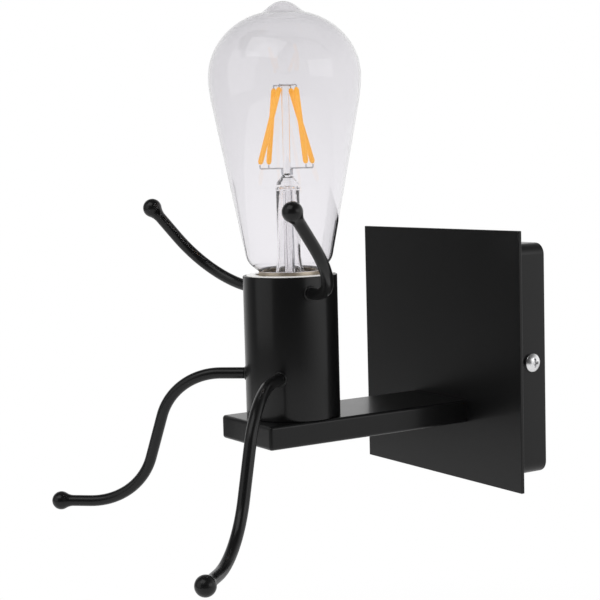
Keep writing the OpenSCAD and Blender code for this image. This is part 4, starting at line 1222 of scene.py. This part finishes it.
class LAMP_OT_bulb_mount(bpy.types.Operator):
    """Makes the stem, exhaust tube, lead wires and filaments inside the bulb"""

    bl_idname = "lamp.bulb_mount"
    bl_label = "Stem and filaments"

    # Millimetres and degrees, with heights from the bulb's seat
    foot_r, head_r, foot_h, filament_length, turn, twist, count = 13.6, 5.2, 45.0, 33.0, 3.0, 28.5, 4
    exhaust_r, exhaust_bore_r, exhaust_low, exhaust_top, exhaust_ease = 2.2, 1.4, -2.0, 34.9, 0.2
    rod_over, ring_over, ring_r, ring_steps = 1.6, 1.0, 1.9, 36
    lead_r, lead_low, lead_high, lead_bend, foot_bend, lap = 2.6, 40.4, 43.2, 0.9, 0.6, 0.3
    spoke_over, spoke_end, spoke_bend = 1.2, 0.1, 0.4
    stem_sides, exhaust_sides, lead_sides, filament_sides = 64, 48, 10, 24
    filament_point, filament_ease, inner_girth = 1.0, 0.5, 0.9

    def execute(self, context):
        self.twisted = math.radians(self.twist)
        across = Vector((self.head_r * math.cos(self.twisted) - self.foot_r,
                         self.head_r * math.sin(self.twisted)))
        self.head_h = self.foot_h + math.sqrt(self.filament_length ** 2 - across.length_squared)
        self.glass()
        self.wires_and_filaments()
        return {"FINISHED"}

    def glass(self):
        outline = stem_outline(self.head_h + self.rod_over)
        stem = Solid().lathe(outline, AT_BULB, sides=self.stem_sides)
        stand_in(stem.piece("bulb_stem_drawn", GLASS_SMOOTH), "bulb_stem", finish="stem_clear")
        outline = eased([
            (self.exhaust_r, self.exhaust_low), (self.exhaust_r, self.exhaust_top),
            (self.exhaust_bore_r, self.exhaust_top), (self.exhaust_bore_r, self.exhaust_low),
        ], self.exhaust_ease)
        tube = Solid().lathe(outline, AT_BULB, sides=self.exhaust_sides)
        stand_in(tube.piece("exhaust_tube_drawn", GLASS_SMOOTH), "exhaust_tube", finish="stem_clear")

    def bent(self, out, outline, steps):
        """A run of wire along an outline of radius and height, in the plane of a heading"""
        flat = eased(outline, closed=False, steps=steps)
        return [(AT_BULB @ (out * r + UP * z), 1.0) for r, z in flat]

    def wires_and_filaments(self):
        spots, runs = [], []
        ring_h, spoke_r = self.head_h + self.ring_over, self.head_r + self.spoke_end
        for i in range(self.count):
            angle = math.radians(self.turn) + WHOLE_TURN * i / self.count
            out = Vector((math.cos(angle), math.sin(angle), 0))
            spoke = Vector((math.cos(angle + self.twisted), math.sin(angle + self.twisted), 0))
            foot = out * self.foot_r + UP * self.foot_h
            head = spoke * self.head_r + UP * self.head_h
            spots.append((AT_BULB @ foot, head - foot))
            runs.append(self.bent(out, [
                (self.lead_r, self.lead_low), (self.lead_r, self.lead_high, self.lead_bend),
                (self.foot_r, self.lead_high, self.foot_bend), (self.foot_r, self.foot_h - self.lap)], 5))
            runs.append(self.bent(spoke, [
                (self.ring_r, ring_h), (spoke_r, self.head_h + self.spoke_over, self.spoke_bend),
                (spoke_r, self.head_h - self.lap)], 4))
        ring = [WHOLE_TURN * k / self.ring_steps for k in range(self.ring_steps + 1)]
        ring = [Vector((self.ring_r * math.cos(a), self.ring_r * math.sin(a), ring_h)) for a in ring]
        runs.append([(AT_BULB @ place, 1.0) for place in ring])
        for side in SIDES:
            wire = [(side * 3.1, 0.3, 1.0), (side * 3.2, 0.0, 14.0), (side * 3.0, -0.2, 34.0)]
            runs.append([(AT_BULB @ place, self.inner_girth) for place in smooth_route(wire)])
        leads = swept("filament_leads_bent", "filament_leads", runs, lamp_sizes().lead_d, self.lead_sides)
        stand_in(leads, "filament_leads")
        r, point, end = mm("filament_d") / 2, self.filament_point, self.filament_length
        outline = [(0, 0), (r / 2, 0), (r, point), (r, end - point), (r / 2, end), (0, end)]
        outline = eased(outline, self.filament_ease, closed=False)
        stick = Solid().lathe(outline, ring=False, sides=self.filament_sides).piece("filament")
        stand_in(copied("led_filaments_coated", "led_filaments", stick, spots), "led_filaments")


class LAMP_OT_bulb_cap(bpy.types.Operator):
    """Makes the rolled screw cap with its insulator, contact and driver board"""

    bl_idname = "lamp.bulb_cap"
    bl_label = "Screw cap"

    insulator_tip_r, insulator_tip_ease, insulator_rim_ease = 5.4, 0.5, 0.05
    contact_sides = 64

    def execute(self, context):
        foot, face, crest = CAP_LOW.z, CONTACT_HIGH.z, CAP_HIGH.x
        cap = threaded(
            "bulb_cap_rolled", "bulb_cap", sheet=CAP_SHEET, offset=-1.0, swell=1.0,
            Root=crest - THREAD_ROOT_DROP, Crest=crest, Height=BULB_SEAT - foot, Foot=0.0, Top=CAP_SKIRT,
            Base=foot)
        stand_in(cap, "bulb_cap")
        outline = eased([
            (0, face), (self.insulator_tip_r, face, self.insulator_tip_ease),
            (INSULATOR_R, foot, self.insulator_rim_ease), (0, foot),
        ], closed=False)
        insulator = Solid().lathe(outline, AT_TUBE, ring=False)
        stand_in(insulator.piece("cap_insulator_fused"), "cap_insulator")
        turns = [QUARTER_TURN * k / DOME_STEPS for k in range(DOME_STEPS)]
        rise, contact_r = face - CONTACT_LOW.z, CONTACT_HIGH.x
        dome = [(contact_r * math.sin(a), CONTACT_LOW.z + rise * (1 - math.cos(a))) for a in turns]
        outline = dome + [(contact_r, face), (0.0, face)]
        contact = Solid().lathe(outline, AT_TUBE, ring=False, sides=self.contact_sides)
        stand_in(contact.piece("cap_contact_soldered"), "cap_contact")
        dress(driver_board=0.12)
        return {"FINISHED"}


class LAMP_OT_stage(bpy.types.Operator):
    """Sets up the camera, the white studio, its soft lamps and the pale floor"""

    bl_idname = "lamp.stage"
    bl_label = "Stage"

    # Camera: degrees, and its place in metres
    azimuth, elevation, roll = 57.53, 5.18, -1.509
    eye = Vector((0.5188, -0.4234, 0.0845))
    lens, sensor, nearest = 87.054, 36.0, 0.01
    # Light of the room: bright towards the wall, darker behind the viewer and overhead
    white = (1, 1, 1, 1)
    wall_way, room_dark, overhead, fill = (-0.3, 0.95, 0.0), 0.06, 0.2, 0.72
    wall_from, wall_to, high_from, high_to = -0.6, 0.75, 0.2, 0.8
    # Soft lamps: place and size in metres, power in watts
    lamp_aim = Vector((0, -0.06, 0.02))
    softboxes = {
        "softbox_left": ((-0.23, -1.33, 0.43), (1.2, 1.2), 3.2),
        "softbox_right": ((1.15, 0.42, 0.37), (0.9, 0.55), 1.6),
        "softbox_above": ((0.25, -0.85, 1.05), (1.1, 0.8), 4.2),
    }
    # Floor in metres: it glows for the camera, less below the lamp than farther out
    floor_z, floor_r, floor_sides = -0.30, 1.5, 48
    glow_from, glow_to, glow_near = 0.25, 0.75, 0.6

    def execute(self, context):
        scene = context.scene
        scene.view_settings.view_transform = "Standard"
        self.camera(scene)
        self.world(scene)
        self.lamps(scene)
        self.floor(scene)
        return {"FINISHED"}

    def camera(self, scene):
        az, el, roll = (math.radians(value) for value in (self.azimuth, self.elevation, self.roll))
        back = Vector((math.sin(az) * math.cos(el), -math.cos(az) * math.cos(el), math.sin(el)))
        right = Vector((math.cos(az), math.sin(az), 0))
        top = back.cross(right)
        side = math.cos(roll) * right + math.sin(roll) * top
        head = math.cos(roll) * top - math.sin(roll) * right
        data = bpy.data.cameras.new("camera")
        data.lens = self.lens
        data.sensor_width = self.sensor
        data.clip_start = self.nearest
        data.dof.use_dof = False
        camera = bpy.data.objects.new("camera", data)
        turn = Matrix((side, head, back)).transposed().to_4x4()
        camera.matrix_world = Matrix.Translation(self.eye) @ turn
        scene.collection.objects.link(camera)
        scene.camera = camera

    def world(self, scene):
        world = bpy.data.worlds.new("studio")
        world.use_nodes = True
        make = Graph(world.node_tree)
        make.tree.nodes.clear()
        path = make.node("ShaderNodeLightPath")
        seen = path.most(path.of("Is Transmission Ray"))
        way = make.node("ShaderNodeTexCoord", out="Generated")
        wall = make.dot(way, self.wall_way).ease(self.wall_from, self.wall_to, self.room_dark, 1.0)
        room = wall * make.dot(way, UP).ease(self.high_from, self.high_to, 1.0, self.overhead)
        glossy = path.of("Is Glossy Ray")
        strength = seen + glossy * (1 - seen) * room + (1 - seen) * (1 - glossy) * self.fill
        light = make.node("ShaderNodeBackground", inputs={"Color": self.white, "Strength": strength})
        make.node("ShaderNodeOutputWorld", inputs={"Surface": light})
        scene.world = world

    def lamps(self, scene):
        for name, (place, (wide, high), power) in self.softboxes.items():
            data = bpy.data.lights.new(name, "AREA")
            data.shape = "RECTANGLE"
            data.size = wide
            data.size_y = high
            data.energy = power
            lamp = bpy.data.objects.new(name, data)
            turn = (Vector(place) - self.lamp_aim).to_track_quat("Z", "Y").to_matrix().to_4x4()
            lamp.matrix_world = Matrix.Translation(place) @ turn
            lamp.visible_camera = False
            lamp.visible_transmission = False
            scene.collection.objects.link(lamp)

    def floor(self, scene):
        mesh = bpy.data.meshes.new("floor")
        turns = [WHOLE_TURN * k / self.floor_sides for k in range(self.floor_sides)]
        rim = [(self.floor_r * math.cos(a), self.floor_r * math.sin(a), self.floor_z) for a in turns]
        mesh.from_pydata(rim, [], [tuple(range(self.floor_sides))])
        floor = bpy.data.objects.new("floor", mesh)
        scene.collection.objects.link(floor)
        make = Finish("pale_floor", Roughness=0.9, Specular_IOR_Level=0.0)
        make.mottle(make.noise(size=180), lamp_colours().floor, dark=0.985, light=1.01)
        glow = make.node("ShaderNodeEmission", inputs={"Color": self.white, "Strength": 1.0})
        path = make.node("ShaderNodeLightPath")
        seen = path.most(path.of("Is Transmission Ray"))
        reach = make.node("ShaderNodeVectorMath", {"operation": "LENGTH"}, [make.place], "Value")
        share = seen * reach.ease(self.glow_from, self.glow_to, self.glow_near, 1.0)
        mixed = make.node("ShaderNodeMixShader", inputs=[share, make.shader, glow])
        mesh.materials.append(make.done(mixed))


class LAMP_PT_maker(bpy.types.Panel):
    """Lists the makers of the lamp's pieces"""

    bl_idname = "LAMP_PT_maker"
    bl_label = "Figure wall lamp"
    bl_space_type = "VIEW_3D"
    bl_region_type = "UI"
    bl_category = "Lamp"

    def draw(self, context):
        for maker in MAKERS:
            self.layout.operator(maker.bl_idname)
        for group in (context.scene.lamp_sizes, context.scene.lamp_colours):
            column = self.layout.column()
            for key in group.__annotations__:
                column.prop(group, key)


MAKERS = (
    LAMP_OT_stage, LAMP_OT_wall_box, LAMP_OT_wall_bracket, LAMP_OT_terminals, LAMP_OT_arm_bar,
    LAMP_OT_body_tube, LAMP_OT_limbs, LAMP_OT_lampholder, LAMP_OT_screws, LAMP_OT_wires,
    LAMP_OT_bulb_glass, LAMP_OT_bulb_mount, LAMP_OT_bulb_cap,
)
CLASSES = (LampSizes, LampColours, *MAKERS, LAMP_PT_maker)


def register():
    for kind in CLASSES:
        bpy.utils.register_class(kind)
    bpy.types.Scene.lamp_sizes = PointerProperty(type=LampSizes)
    bpy.types.Scene.lamp_colours = PointerProperty(type=LampColours)


def unregister():
    del bpy.types.Scene.lamp_colours
    del bpy.types.Scene.lamp_sizes
    for kind in reversed(CLASSES):
        bpy.utils.unregister_class(kind)


def main():
    register()
    for maker in MAKERS:
        getattr(bpy.ops.lamp, maker.bl_idname.split(".")[1])()


if __name__ == "__main__":
    main()
